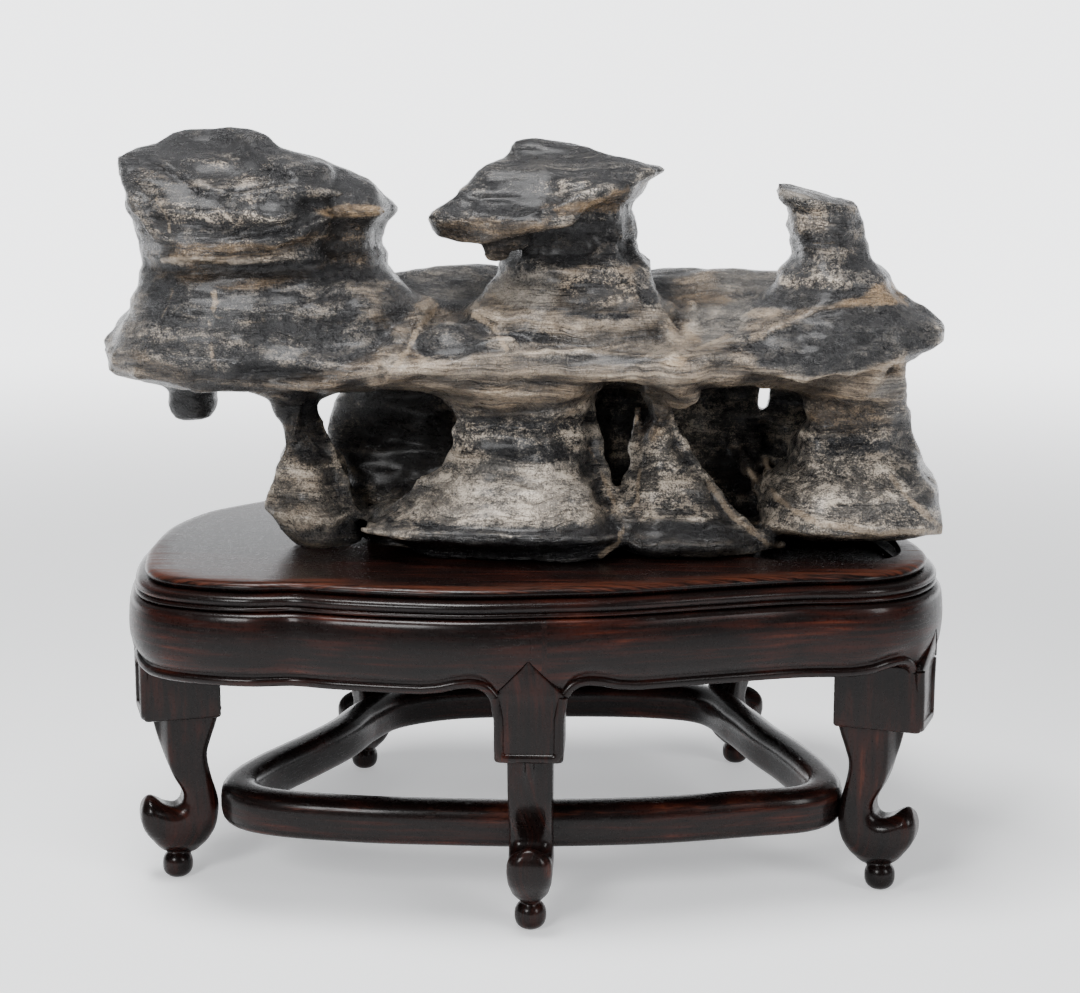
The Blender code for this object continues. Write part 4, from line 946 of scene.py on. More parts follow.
# -------------------------------------------------------------- node helpers
class Wire:
    """An output socket; arithmetic on it adds Math nodes to its tree."""

    def __init__(self, tree, socket):
        self.tree = tree
        self.socket = socket

    def math(self, operation, *values):
        return self.tree.add("ShaderNodeMath", {"operation": operation}, dict(enumerate(values)))

    def __abs__(self):
        return self.math("ABSOLUTE", self)

    def __add__(self, other):
        return self.math("ADD", self, other)

    def __sub__(self, other):
        return self.math("SUBTRACT", self, other)

    def __rsub__(self, other):
        return self.math("SUBTRACT", other, self)

    def __mul__(self, other):
        return self.math("MULTIPLY", self, other)

    __radd__ = __add__
    __rmul__ = __mul__


class Tree:
    """Adds nodes to a shader or geometry tree."""

    def __init__(self, tree):
        self.tree = tree

    def add(self, kind, settings=None, inputs=None, output=0):
        node = self.tree.nodes.new(kind)
        for name, value in (settings or {}).items():
            if name == "stops":
                ramp = node.color_ramp.elements
                for index, (position, colour) in enumerate(value):
                    stop = ramp[index] if index < 2 else ramp.new(position)
                    stop.position = position
                    stop.color = (*colour, 1.0)
            else:
                setattr(node, name, value)
        for name, value in (inputs or {}).items():
            if isinstance(value, Wire):
                self.tree.links.new(value.socket, node.inputs[name])
            else:
                node.inputs[name].default_value = value
        return Wire(self, node.outputs[output])

    def noise(self, place, size, detail=3.0, roughness=0.55, shift=0.0):
        """Noise in bumps of the given size in mm along X, Y and Z."""
        scale = tuple(1.0 / (MM * length) for length in size)
        vector = self.add("ShaderNodeVectorMath", {"operation": "MULTIPLY_ADD"},
                          {0: place, 1: scale, 2: (shift, shift, shift)})
        return self.add("ShaderNodeTexNoise", {},
                        {"Vector": vector, "Scale": 1.0, "Detail": detail, "Roughness": roughness})

    def step(self, value, low, high):
        """Smooth step from 0 at low to 1 at high."""
        return self.add("ShaderNodeMapRange", {"interpolation_type": "SMOOTHSTEP"},
                        {"Value": value, "From Min": low, "From Max": high})

    def ramp(self, value, stops):
        return self.add("ShaderNodeValToRGB", {"stops": stops}, {0: value})

    def mix(self, factor, first, second):
        first, second = ((*c, 1.0) if isinstance(c, tuple) else c for c in (first, second))
        return self.add("ShaderNodeMix", {"data_type": "RGBA"}, {0: factor, 6: first, 7: second}, 2)

    def bump(self, height, strength, depth, under=None):
        inputs = {"Height": height, "Strength": strength, "Distance": depth * MM}
        if under is not None:
            inputs["Normal"] = under
        return self.add("ShaderNodeBump", {}, inputs)


def new_finish(name, **fixed):
    """A material, its tree and its shader; what never varies is set here."""
    finish = bpy.data.materials.new(name)
    finish.use_nodes = True
    shader = finish.node_tree.nodes["Principled BSDF"]
    for socket, value in fixed.items():
        shader.inputs[socket.replace("_", " ")].default_value = value
    return finish, Tree(finish.node_tree), shader


def connect(shader, **wires):
    for socket, wire in wires.items():
        wire.tree.tree.links.new(wire.socket, shader.inputs[socket.replace("_", " ")])


# ----------------------------------------------------------------- finishes
CHARCOAL = [(0.0, (0.005, 0.005, 0.006)), (0.22, (0.014, 0.014, 0.015)),
            (0.45, (0.078, 0.072, 0.065)), (0.68, (0.28, 0.246, 0.206)), (1.0, (0.66, 0.59, 0.50))]
OCHRE = [(0.0, (0.009, 0.006, 0.004)), (0.22, (0.028, 0.019, 0.012)),
         (0.45, (0.115, 0.077, 0.044)), (0.68, (0.31, 0.208, 0.115)), (1.0, (0.64, 0.50, 0.34))]
VEIN = (0.37, 0.285, 0.20)
DARK_LINE = (0.016, 0.014, 0.013)


def limestone_finish():
    """Dark banded limestone; the attributes say what it is like at each point, and where shade is painted in
    its hollows and light on its crests.
    """
    finish, tree, shader = new_finish("dark_limestone", IOR=1.46, Coat_Weight=0.16, Coat_Roughness=0.26)
    place = tree.add("ShaderNodeTexCoord", output="Object")
    mixed = tree.add("ShaderNodeAttribute", {"attribute_name": "stone_mix"}, output="Color")
    banding = tree.add("ShaderNodeAttribute", {"attribute_name": "stone_mix"}, output="Alpha")
    marks = tree.add("ShaderNodeAttribute", {"attribute_name": "stone_marks"}, output="Color")
    polish = tree.add("ShaderNodeAttribute", {"attribute_name": "stone_marks"}, output="Alpha")
    light, warmth, speckle = (tree.add("ShaderNodeSeparateColor", {}, {0: mixed}, i) for i in range(3))
    # hollow is how deep a point lies in a hollow: painted shade there, painted light on crests
    pale, dark, hollow = (tree.add("ShaderNodeSeparateColor", {}, {0: marks}, i) for i in range(3))

    wander = tree.add("ShaderNodeTexNoise", {}, {"Vector": place, "Scale": 30.0, "Detail": 2.0}, "Color")
    swing = (0.016, 0.016, 0.012)
    flow = tree.add("ShaderNodeVectorMath", {"operation": "MULTIPLY_ADD"}, {0: wander, 1: swing, 2: place})

    # noises, from the widest to the finest of each kind; flow bends them with the bedding
    cloud = tree.noise(place, (30, 30, 16), 5.0, 0.62)
    cluster = tree.noise(flow, (22, 22, 9.0), 4.0, 0.6, 1.7)
    streak = tree.noise(flow, (24, 24, 3.0), 6.0, 0.66, 7.3)
    blotch = tree.noise(flow, (5.6, 5.6, 3.6), 8.0, 0.76, 3.1)
    brush = tree.noise(place, (0.8, 0.8, 5.0), 3.0, 0.6, 9.4)
    grain = tree.noise(place, (0.9, 0.9, 0.7), 3.0, 0.7, 11.7)
    band = tree.noise(flow, (90, 90, 2.4), 4.0, 0.68, 5.9)
    thread = tree.noise(flow, (45, 45, 0.8), 3.0, 0.62, 21.3)
    layers = tree.noise(flow, (80, 80, 5.2), 3.0, 0.58, 14.1)
    leaves = tree.noise(flow, (60, 60, 2.0), 3.0, 0.6, 17.9)
    wrinkles = tree.noise(flow, (5.0, 5.0, 7.0), 3.0, 0.6, 27.5)
    threads = tree.noise(place, (1.3, 1.3, 7.0), 3.0, 0.6, 31.1)

    field = blotch + (cluster - 0.5) * 0.80 + (brush - 0.5) * 0.10 + (grain - 0.5) * 0.70
    spots = 0.45 * tree.step(field, 0.48, 0.62) + 0.55 * tree.step(field, 0.38, 0.74)
    wrinkle = 1.0 - tree.step(abs(wrinkles - 0.5), 0.004, 0.035)
    crease = 1.0 - tree.step(abs(layers - 0.5), 0.002, 0.016)
    fine_crease = 1.0 - tree.step(abs(leaves - 0.5), 0.004, 0.03)
    # the tone's last term, - hollow, is painted shade in the hollows and painted light on the crests
    tone = (light + (cloud - 0.5) * 0.34 + (streak - 0.5) * (0.20 + 0.18 * banding)
            + speckle * (spots - 0.38) * 0.60
            + banding * ((band - 0.5) * 0.56 + (thread - 0.5) * 0.50)
            - crease * 0.13 - fine_crease * (0.03 + 0.05 * banding)
            - wrinkle * speckle * 0.14 + (threads - 0.5) * speckle * 0.20
            + (grain - 0.5) * 0.32 + (brush - 0.5) * 0.10 - hollow * 0.34)

    # colour: grey or warm stone, then pale veins, then dark lines
    grey = tree.ramp(tone, CHARCOAL)
    warm = tree.ramp(tone, OCHRE)
    tint = warmth + (cloud - 0.5) * 0.55 + (band - 0.5) * banding * 0.6 + speckle * (spots - 0.5) * 0.25
    colour = tree.mix(tree.step(tint, 0.0, 1.0), grey, warm)
    ragged = (blotch - 0.5) * 0.16 + (grain - 0.5) * 0.05
    vein = tree.step(pale + ragged, 0.45, 0.56)
    colour = tree.mix(vein * (0.45 + 0.4 * spots), colour, VEIN)
    line = tree.step(dark + ragged, 0.43, 0.57)
    colour = tree.mix(line * 0.75, colour, DARK_LINE)

    height = (tree.step(layers, 0.485, 0.515) * 0.45 - crease * 0.35
              + tree.step(leaves, 0.46, 0.54) * (0.10 + banding * 0.14)
              + (blotch - 0.5) * 0.9 + (grain - 0.5) * 0.55 + (brush - 0.5) * 0.15 - line * 0.5
              - wrinkle * 0.30 + (threads - 0.5) * speckle * 0.45)
    rough = 0.29 - polish * 0.04 + (blotch - 0.5) * 0.34
    connect(shader, Base_Color=colour, Roughness=rough, Normal=tree.bump(height, 0.95, 1.2))
    return finish


# Each wood: length of the grain's figure in mm, how red it is and how worn.
WOODS = {
    "board": (60.0, 0.9, 0.66),
    "waist": (50.0, 0.8, 0.2),
    "apron": (50.0, 0.95, 0.36),
    "leg": (40.0, 0.9, 0.4),
    "ring": (55.0, 1.0, 0.7),
}
WORN_WOOD = (0.085, 0.021, 0.009)
WOOD_PORE = (0.004, 0.003, 0.003)


def wood_finish(name, grain_length, red, worn):
    """Dark lacquered hardwood with the grain along the piece."""
    finish, tree, shader = new_finish(name, IOR=1.21, Coat_Roughness=0.14)
    place = tree.add("ShaderNodeTexCoord", output="Object")
    along = tree.add("ShaderNodeAttribute", {"attribute_name": "along"}, output="Fac")
    across = tree.add("ShaderNodeAttribute", {"attribute_name": "across"}, output="Fac")
    wear = tree.add("ShaderNodeAttribute", {"attribute_name": "wear"}, output="Fac")
    board = tree.add("ShaderNodeCombineXYZ", {}, {0: along * MM, 1: across * MM, 2: 0.0})
    figure = tree.noise(board, (grain_length, 3.2, 1.0), 5.0, 0.62)
    pores = tree.noise(board, (9.0, 0.45, 1.0), 2.0, 0.6, 4.2)
    cloud = tree.noise(place, (38, 38, 30), 3.0, 0.5, 8.8)
    dirt = tree.noise(place, (1.6, 1.6, 1.6), 3.0, 0.7, 2.2)
    tone = figure + (cloud - 0.5) * 0.55
    colour = tree.ramp(tone, [(0.30, (0.0026, 0.0018, 0.0017)), (0.50, (0.0060, 0.0028, 0.0024)),
                              (0.66, tuple(red * c for c in (0.022, 0.0056, 0.0038))),
                              (0.84, tuple(red * c for c in (0.080, 0.019, 0.009)))])
    rubbed = tree.step(wear * 0.8 + (figure - 0.5) * 2.0 + (pores - 0.5) * 1.3, 0.50, 1.1)
    colour = tree.mix(rubbed * worn, colour, WORN_WOOD)
    pit = tree.step(pores, 0.62, 0.70)
    colour = tree.mix(pit * 0.75, colour, WOOD_PORE)
    height = (figure - 0.5) * 0.5 - pit * 0.7 + (dirt - 0.5) * 0.25
    rough = 0.29 + (dirt - 0.5) * 0.20 + rubbed * 0.16
    connect(shader, Base_Color=colour, Roughness=rough, Coat_Weight=0.14 - rubbed * 0.10,
            Normal=tree.bump(height, 0.40, 0.35))
    return finish


# -------------------------------------------------------------- mesh helpers
def new_object(name, mesh, finish=None):
    """A mesh as an object of the scene, with its finish."""
    piece = bpy.data.objects.new(name, mesh)
    bpy.context.collection.objects.link(piece)
    if finish is not None:
        mesh.materials.append(finish)
    return piece


def mesh_of(vertices, faces, name):
    """A mesh from mm points already in the final frame."""
    mesh = bpy.data.meshes.new(name)
    mesh.from_pydata((np.asarray(vertices) * MM).tolist(), [], [list(map(int, f)) for f in faces])
    return mesh


def write_attribute(mesh, name, values):
    """Store a number or a colour for each point of a mesh."""
    values = np.asarray(values, dtype=np.float32)
    if values.ndim == 1:
        mesh.attributes.new(name, "FLOAT", "POINT").data.foreach_set("value", values)
    else:
        mesh.attributes.new(name, "FLOAT_COLOR", "POINT").data.foreach_set("color", values.ravel())


def mesh_points(mesh):
    points = np.empty(len(mesh.vertices) * 3)
    mesh.vertices.foreach_get("co", points)
    return points.reshape(-1, 3) / MM


def mesh_normals(mesh):
    normals = np.empty(len(mesh.vertices) * 3)
    mesh.vertex_normals.foreach_get("vector", normals)
    return normals.reshape(-1, 3)


def face_outwards(mesh):
    shell = bmesh.new()
    shell.from_mesh(mesh)
    bmesh.ops.recalc_face_normals(shell, faces=shell.faces)
    shell.to_mesh(mesh)
    shell.free()


def settled(piece):
    """Turn the evaluated object into a plain mesh and drop its modifiers."""
    graph = bpy.context.evaluated_depsgraph_get()
    mesh = bpy.data.meshes.new_from_object(piece.evaluated_get(graph))
    piece.modifiers.clear()
    if piece.type == "MESH":
        piece.data = mesh
        return piece
    name = piece.name
    bpy.data.objects.remove(piece)
    return new_object(name, mesh)


def to_frame(points):
    """Working coordinates to the final frame, still in mm."""
    return np.asarray(points, dtype=float) - (CENTRE_X, CENTRE_Y, 0.0)


# -------------------------------------------------------------------- stone
def hollows(points, normals, edges, rounds):
    """How far each point lies below (+) or above (-) its surroundings, in mm; the finish paints shade in
    hollows and light on crests from it.
    """
    degree = np.bincount(edges.ravel(), minlength=len(points))[:, None]
    smooth = points
    for _ in range(rounds):
        total = np.zeros_like(points)
        for axis in range(3):
            total[:, axis] = (np.bincount(edges[:, 0], smooth[edges[:, 1], axis], len(points))
                              + np.bincount(edges[:, 1], smooth[edges[:, 0], axis], len(points)))
        smooth = 0.5 * smooth + 0.5 * total / degree
    return ((smooth - points) * normals).sum(axis=1)


SEAT_FADE = 14.0                # the relief fades out this far above the seat
SKIN_INSET = 0.35               # keeps the finished skin inside the solid's box
LEDGES = ((9.5, 0.75, 11), (4.2, 0.42, 12))   # (spacing, height, seed)
ROUGH_SKIRT = ((155, -60, 262), (32, 30, 10))  # centre and reach of the east skirt's coarse skin
CRUMBLY_NECK = ((40, -55, 308), (28, 40, 9))   # and of the crumbly neck of the middle tower


def near_spot(points, centre, reach):
    """1 at the centre of a spot, fading to 0 beyond its reach."""
    return np.exp(-(((points - centre) / reach) ** 2).sum(axis=1))


def stone_relief(points, normals):
    """Ledges, creases and pits raised on the smooth stone, in mm."""
    x, y, z = points.T
    wander = points + 5.0 * np.stack([rough_noise(points, 40, seed) for seed in (3, 4, 5)], axis=1)
    bed = wander[:, 2] + 0.03 * x - 0.04 * y
    upright = 1.0 - np.abs(normals[:, 2])
    stepped = 0.25 + 0.75 * rise(256, 272, z)
    relief = np.zeros(len(points))
    for gap, height, seed in LEDGES:
        saw = bed / gap % 1.0
        ledge = np.where(saw < 0.8, saw / 0.8, (1.0 - saw) / 0.2) - 0.5
        relief += height * ledge * upright * (0.25 + 1.2 * soft_noise(points, 45, seed)) * stepped
    relief += 1.3 * rough_noise(points, (26, 26, 17), 21) + 0.8 * rough_noise(points, (9, 9, 6), 22)
    relief += 2.6 * np.abs(rough_noise(points, (34, 34, 15), 23, 2)) - 0.5
    relief += 4.2 * near_spot(points, *ROUGH_SKIRT) * rough_noise(points, (7, 7, 5), 61)
    crumbly = near_spot(points, *CRUMBLY_NECK)
    relief -= crumbly * 2.4 * rise(0.5, 0.75, soft_noise(points, 5.5, 31))
    relief += (0.45 + 1.3 * crumbly) * upright * rough_noise(points, (5, 5, 20), 71, 2)
    for width, depth, line in DARK_LINES:
        relief -= depth * np.exp(-(line_distance(points, line) / width) ** 2)
    return relief * rise(STONE_SEAT, STONE_SEAT + SEAT_FADE, z) - SKIN_INSET


def stone_colours(points, normals):
    """How light, warm, speckled and banded the stone is at each point, with painted shade at its feet, in its
    recesses and under overhangs.
    """
    x, y, z = points.T
    ragged = 0.55 * rough_noise(points, (24, 24, 12), 41, 4) + 0.35 * rough_noise(points, (10, 10, 3), 45, 3)
    # a soft-edged column round each tower, 1 inside it
    west = rise(96, 80, np.hypot(x + 138, 1.1 * (y + 2)) + 9.0 * ragged) * rise(245, 251, z)
    middle = rise(66, 54, np.hypot(x - 12, 1.1 * (y + 4))) * rise(272, 280, z)
    cap = rise(298, 306, z)
    east = rise(74, 60, np.hypot(0.9 * (x - 152), y + 8)) * rise(252, 259, z)
    east *= rise(100, 116, x + 0.4 * z - 108)
    tower = np.maximum(np.maximum(west, middle), np.maximum(cap, east))
    foot = rise(178, 168, z)
    pillar = rise(240, 232, z)
    under = rise(-0.25, -0.75, normals[:, 2])
    light = 0.47 - 0.23 * tower + 0.03 * pillar
    warmth = 0.42 - 0.31 * tower - 0.19 * pillar
    speckle = 0.15 + 0.65 * tower + 0.55 * pillar
    banding = 1.0 - 0.75 * tower - 0.65 * pillar
    mixed = np.stack([light, warmth, speckle, banding], axis=1)

    def blend(share, target):
        return mixed + share[:, None] * (np.array(target) - mixed)

    # painted shade: the feet, below their rims and near the board, are darkened
    mixed = blend(0.85 * foot, (0.15, 0.2, 0.3, 0.9))
    mixed = blend(0.7 * under, (0.34, 0.55, 0.2, 0.9))
    for (cx, cy, cz), half_x, half_z, *target in PATCHES:
        reach = np.sqrt(((x - cx) / half_x) ** 2 + ((y - cy) / PATCH_DEPTH) ** 2
                        + ((z - cz) / half_z) ** 2)
        mixed = blend(rise(1.20, 0.80, reach + ragged), target)
    for depth, target, outline in FACES:
        inside = -outline_distance(x, z, outline) + 5.0 * ragged
        mixed = blend(rise(-0.9, 0.9, inside) * rise(FACE_DEPTH, 0.7 * FACE_DEPTH, abs(y - depth)), target)
    mixed[:, 0] -= 0.08 * west + 0.03 * middle
    return mixed


def stone_marks(points, hollow):
    """Pale veins, dark lines, painted shade in hollows with painted light on crests, and polish; 0.5 is the
    edge of a line.
    """
    shifted = points + 1.6 * np.stack([rough_noise(points, 9, seed) for seed in (51, 52, 53)], axis=1)
    pale = np.full(len(points), -1.0)
    brown = [(VEIN_WIDTH, [point for point in line if point[2] < VEIN_TOP]) for *_, line in PILLAR_RIDGES]
    for width, line in PALE_LINES + brown:
        pale = np.maximum(pale, 0.5 + (0.5 * width - line_distance(shifted, line)) / 8.0)
    dark = np.full(len(points), -1.0)
    for width, _, line in DARK_LINES:
        dark = np.maximum(dark, 0.5 + (0.35 * width - line_distance(shifted, line)) / 8.0)
    polish = rise(250, 320, points[:, 2])
    # third channel: painted shade in hollows, painted light on crests
    return np.stack([np.clip(pale, 0, 1), np.clip(dark, 0, 1),
                     np.clip(0.5 * hollow, -0.6, 1.0), polish], axis=1)


def make_stone(finish):
    """The stone's finished skin: wrapped, raised by its relief, then coloured."""
    vertices, quads = wrap_form(seated_form, STONE_REACH, FINE_STEP)
    mesh = mesh_of(to_frame(vertices), quads, "stone_skin")
    shell = bmesh.new()
    shell.from_mesh(mesh)
    largest_skin(shell)
    bmesh.ops.recalc_face_normals(shell, faces=shell.faces)
    shell.to_mesh(mesh)
    shell.free()
    points, normals = mesh_points(mesh), mesh_normals(mesh)
    points += normals * stone_relief(points, normals)[:, None]
    points[:, 0] -= EAST_DRAW * np.maximum(points[:, 0] - EAST_LIMIT, 0.0)
    mesh.vertices.foreach_set("co", (points * MM).ravel())
    mesh.update()
    edges = np.empty(len(mesh.edges) * 2, dtype=int)
    mesh.edges.foreach_get("vertices", edges)
    normals = mesh_normals(mesh)
    # how deep each point lies in a hollow, for the painted shade there
    hollow = hollows(points, normals, edges.reshape(-1, 2), HOLLOW_ROUNDS)
    write_attribute(mesh, "stone_mix", stone_colours(points, normals))
    write_attribute(mesh, "stone_marks", stone_marks(points, hollow))
    mesh.shade_smooth()
    return new_object("carved_stone", mesh, finish)


# -------------------------------------------------------------------- curves
def smooth_closed(points, count):
    """Even points along a closed Catmull-Rom curve."""
    dense = []
    total = len(points)
    for i in range(total):
        p0, p1, p2, p3 = (Vector(points[(i + k - 1) % total]) for k in range(4))
        for step in range(12):
            t = step / 12
            dense.append(0.5 * (2 * p1 + (p2 - p0) * t
                                + (2 * p0 - 5 * p1 + 4 * p2 - p3) * t * t
                                + (3 * p1 - p0 - 3 * p2 + p3) * t ** 3))
    loop = np.array([tuple(p) for p in dense] + [tuple(dense[0])])
    lengths = np.linalg.norm(np.diff(loop, axis=0), axis=1)
    travelled = np.concatenate([[0.0], np.cumsum(lengths)])
    marks = np.linspace(0.0, travelled[-1], count, endpoint=False)
    return np.stack([np.interp(marks, travelled, loop[:, k]) for k in (0, 1)], axis=1)


def outward(points):
    """Outward normals of a counter-clockwise closed polyline."""
    tangent = np.roll(points, -1, axis=0) - np.roll(points, 1, axis=0)
    normal = np.stack([tangent[:, 1], -tangent[:, 0]], axis=1)
    return normal / np.linalg.norm(normal, axis=1)[:, None]


def offset_loop(points, distance):
    return points + outward(points) * distance


def distances_along(loop):
    """How far along a closed loop each of its points is; the last is the whole way."""
    lengths = np.linalg.norm(np.roll(loop, -1, axis=0) - loop, axis=1)
    return np.concatenate([[0.0], np.cumsum(lengths)])


SEARCH_CHUNK = 20000            # points compared with a loop at once


def place_by_loop(points, loop):
    """How far along a closed loop each point's nearest place is, and how far the point is off it."""
    flat = loop - (CENTRE_X, CENTRE_Y)
    nearest = np.empty(len(points), dtype=int)
    gap = np.empty(len(points))
    for start in range(0, len(points), SEARCH_CHUNK):
        part = slice(start, start + SEARCH_CHUNK)
        squares = ((points[part, None, :2] - flat[None]) ** 2).sum(axis=2)
        nearest[part] = np.argmin(squares, axis=1)
        gap[part] = np.sqrt(squares.min(axis=1))
    return distances_along(flat)[nearest], gap


# ------------------------------------------------------------- stand's solids
def loft(loops, closed_stack=False):
    """A closed solid through equal loops of points; the ends are capped."""
    count = len(loops[0])
    vertices = [point for loop in loops for point in loop]
    faces = []
    stacks = len(loops) if closed_stack else len(loops) - 1
    for level in range(stacks):
        lower, upper = level * count, (level + 1) % len(loops) * count
        for i in range(count):
            j = (i + 1) % count
            faces.append((lower + i, lower + j, upper + j, upper + i))
    if not closed_stack:
        faces.append(tuple(range(count))[::-1])
        faces.append(tuple(range((len(loops) - 1) * count, len(loops) * count)))
    mesh = mesh_of(to_frame(vertices), faces, "loft")
    face_outwards(mesh)
    return mesh


def at_height(points, height):
    return [(x, y, height) for x, y in points]


def on_oval(angle, roundness):
    """A point of an oval with half sizes of 1; roundness 1 is a circle, less is boxier."""
    c, s = math.cos(angle), math.sin(angle)
    return math.copysign(abs(c) ** roundness, c), math.copysign(abs(s) ** roundness, s)


def joined(meshes, name):
    """One mesh from several closed shells, its many-sided faces split into triangles."""
    shell = bmesh.new()
    for mesh in meshes:
        shell.from_mesh(mesh)
    bmesh.ops.triangulate(shell, faces=[face for face in shell.faces if len(face.verts) > 4])
    whole = bpy.data.meshes.new(name)
    shell.to_mesh(whole)
    shell.free()
    return whole


def cut_away(piece, tools):
    """Cut the tools out of a piece and remove them."""
    for tool in tools:
        cut = piece.modifiers.new("cut", "BOOLEAN")
        cut.operation = "DIFFERENCE"
        cut.solver = "EXACT"
        cut.object = tool
    settled(piece)
    for tool in tools:
        bpy.data.objects.remove(tool)


def soft_shaded(mesh, degrees=34):
    """Smooth shading, but for edges sharper than the given angle."""
    mesh.shade_smooth()
    mesh.set_sharp_from_angle(angle=math.radians(degrees))


def curve_object(name, points, closed):
    """A poly curve from mm points in the stand's own layout."""
    curve = bpy.data.curves.new(name, "CURVE")
    curve.dimensions = "3D"
    spline = curve.splines.new("POLY")
    spline.points.add(len(points) - 1)
    spline.points.foreach_set("co", (np.c_[np.array(points) * MM, np.ones(len(points))]).ravel())
    spline.use_cyclic_u = closed
    guide = bpy.data.objects.new(name, curve)
    bpy.context.collection.objects.link(guide)
    return guide


def new_node_group(name, sockets):
    """A geometry tree with named inputs and one geometry output."""
    group = bpy.data.node_groups.new(name, "GeometryNodeTree")
    group.interface.new_socket("Geometry", in_out="OUTPUT", socket_type="NodeSocketGeometry")
    for socket, kind in sockets:
        group.interface.new_socket(socket, in_out="INPUT", socket_type=kind)
    tree = Tree(group)
    source = group.nodes.new("NodeGroupInput")
    ports = {name: Wire(tree, source.outputs[name]) for name, _ in sockets}
    return group, tree, ports


def close_group(tree, shape, finish):
    """Realize the shape, give it its finish and send it out."""
    real = tree.add("GeometryNodeRealizeInstances", {}, {"Geometry": shape})
    smooth = tree.add("GeometryNodeSetShadeSmooth", {}, {"Geometry": real})
    done = tree.add("GeometryNodeSetMaterial", {}, {"Geometry": smooth, "Material": finish})
    target = tree.tree.nodes.new("NodeGroupOutput")
    tree.tree.links.new(done.socket, target.inputs["Geometry"])


def sweep_group():
    """A moulding: a profile carried round a level path."""
    group, tree, ports = new_node_group("swept_moulding", [
        ("Path", "NodeSocketObject"), ("Profile", "NodeSocketObject"),
        ("Finish", "NodeSocketMaterial")])
    path = tree.add("GeometryNodeObjectInfo", {}, {"Object": ports["Path"]}, "Geometry")
    profile = tree.add("GeometryNodeObjectInfo", {}, {"Object": ports["Profile"]}, "Geometry")
    upright = tree.add("GeometryNodeSetCurveNormal", {"mode": "Z_UP"}, {"Curve": path})
    skin = tree.add("GeometryNodeCurveToMesh", {}, {"Curve": upright, "Profile Curve": profile})
    close_group(tree, skin, ports["Finish"])
    return group


def bead_group():
    """A carved bead: a round rod along a path, closed at both ends."""
    group, tree, ports = new_node_group("carved_bead", [
        ("Path", "NodeSocketObject"), ("Radius", "NodeSocketFloat"), ("Sides", "NodeSocketInt"),
        ("Finish", "NodeSocketMaterial")])
    path = tree.add("GeometryNodeObjectInfo", {}, {"Object": ports["Path"]}, "Geometry")
    round_profile = tree.add("GeometryNodeCurvePrimitiveCircle", {},
                             {"Resolution": ports["Sides"], "Radius": ports["Radius"]})
    skin = tree.add("GeometryNodeCurveToMesh", {},
                    {"Curve": path, "Profile Curve": round_profile, "Fill Caps": True})
    close_group(tree, skin, ports["Finish"])
    return group


def grown(group, name, **inputs):
    """A mesh made by a geometry tree from its named inputs."""
    piece = new_object(name, bpy.data.meshes.new(name))
    maker = piece.modifiers.new(name, "NODES")
    maker.node_group = group
    for item in group.interface.items_tree:
        if item.in_out == "INPUT":
            maker[item.identifier] = inputs[item.name]
    mesh = settled(piece).data
    bpy.data.objects.remove(piece)
    face_outwards(mesh)
    return mesh


def rod_along(name, points, radius, finish):
    """A bead of the given radius along mm points."""
    guide = curve_object(name + "_path", np.asarray(to_frame(points)), False)
    mesh = grown(BEAD_GROUP, name, Path=guide, Radius=radius * MM, Sides=BEAD_SIDES, Finish=finish)
    bpy.data.objects.remove(guide)
    return mesh


def moulding_round(name, loop, profile, finish):
    """Sweep (offset, height) pairs round a counter-clockwise loop."""
    path = curve_object(name + "_path", to_frame(at_height(loop, 0.0)), True)
    shape = curve_object(name + "_profile", [(offset, -height, 0.0) for offset, height in profile], True)
    mesh = grown(SWEEP_GROUP, name, Path=path, Profile=shape, Finish=finish)
    bpy.data.objects.remove(path)
    bpy.data.objects.remove(shape)
    return mesh


def set_grain(mesh, along, across, wear):
    """How far along and across the grain each point is, in mm, and how worn."""
    write_attribute(mesh, "along", along)
    write_attribute(mesh, "across", across)
    write_attribute(mesh, "wear", np.clip(wear, 0.0, 1.0))


# --------------------------------------------------------------------- board
BOARD_PROFILE = [               # (offset from the outline, height)
    (-20.0, BOARD_TOP), (-7.0, BOARD_TOP), (-3.6, BOARD_TOP), (-2.0, BOARD_TOP - 0.25),
    (-0.9, BOARD_TOP - 0.8), (-0.2, BOARD_TOP - 1.6), (0.0, BOARD_TOP - 2.3),
    (-0.2, BOARD_TOP - 3.1), (-0.8, BOARD_TOP - 3.9), (-1.8, BOARD_EDGE_BOTTOM),
]


POCKET_FLOOR = SOCKET_FLOOR - 0.02
SOCKET_ROUNDNESS = 0.625
POCKET_ROUNDNESS = 0.6
OBLONG_POINTS = 72


def rounded_oblong(left, right, front, back, roundness):
    loop = []
    for i in range(OBLONG_POINTS):
        x, y = on_oval(math.tau * i / OBLONG_POINTS, roundness)
        loop.append((0.5 * (left + right + (right - left) * x), 0.5 * (front + back + (back - front) * y)))
    return loop


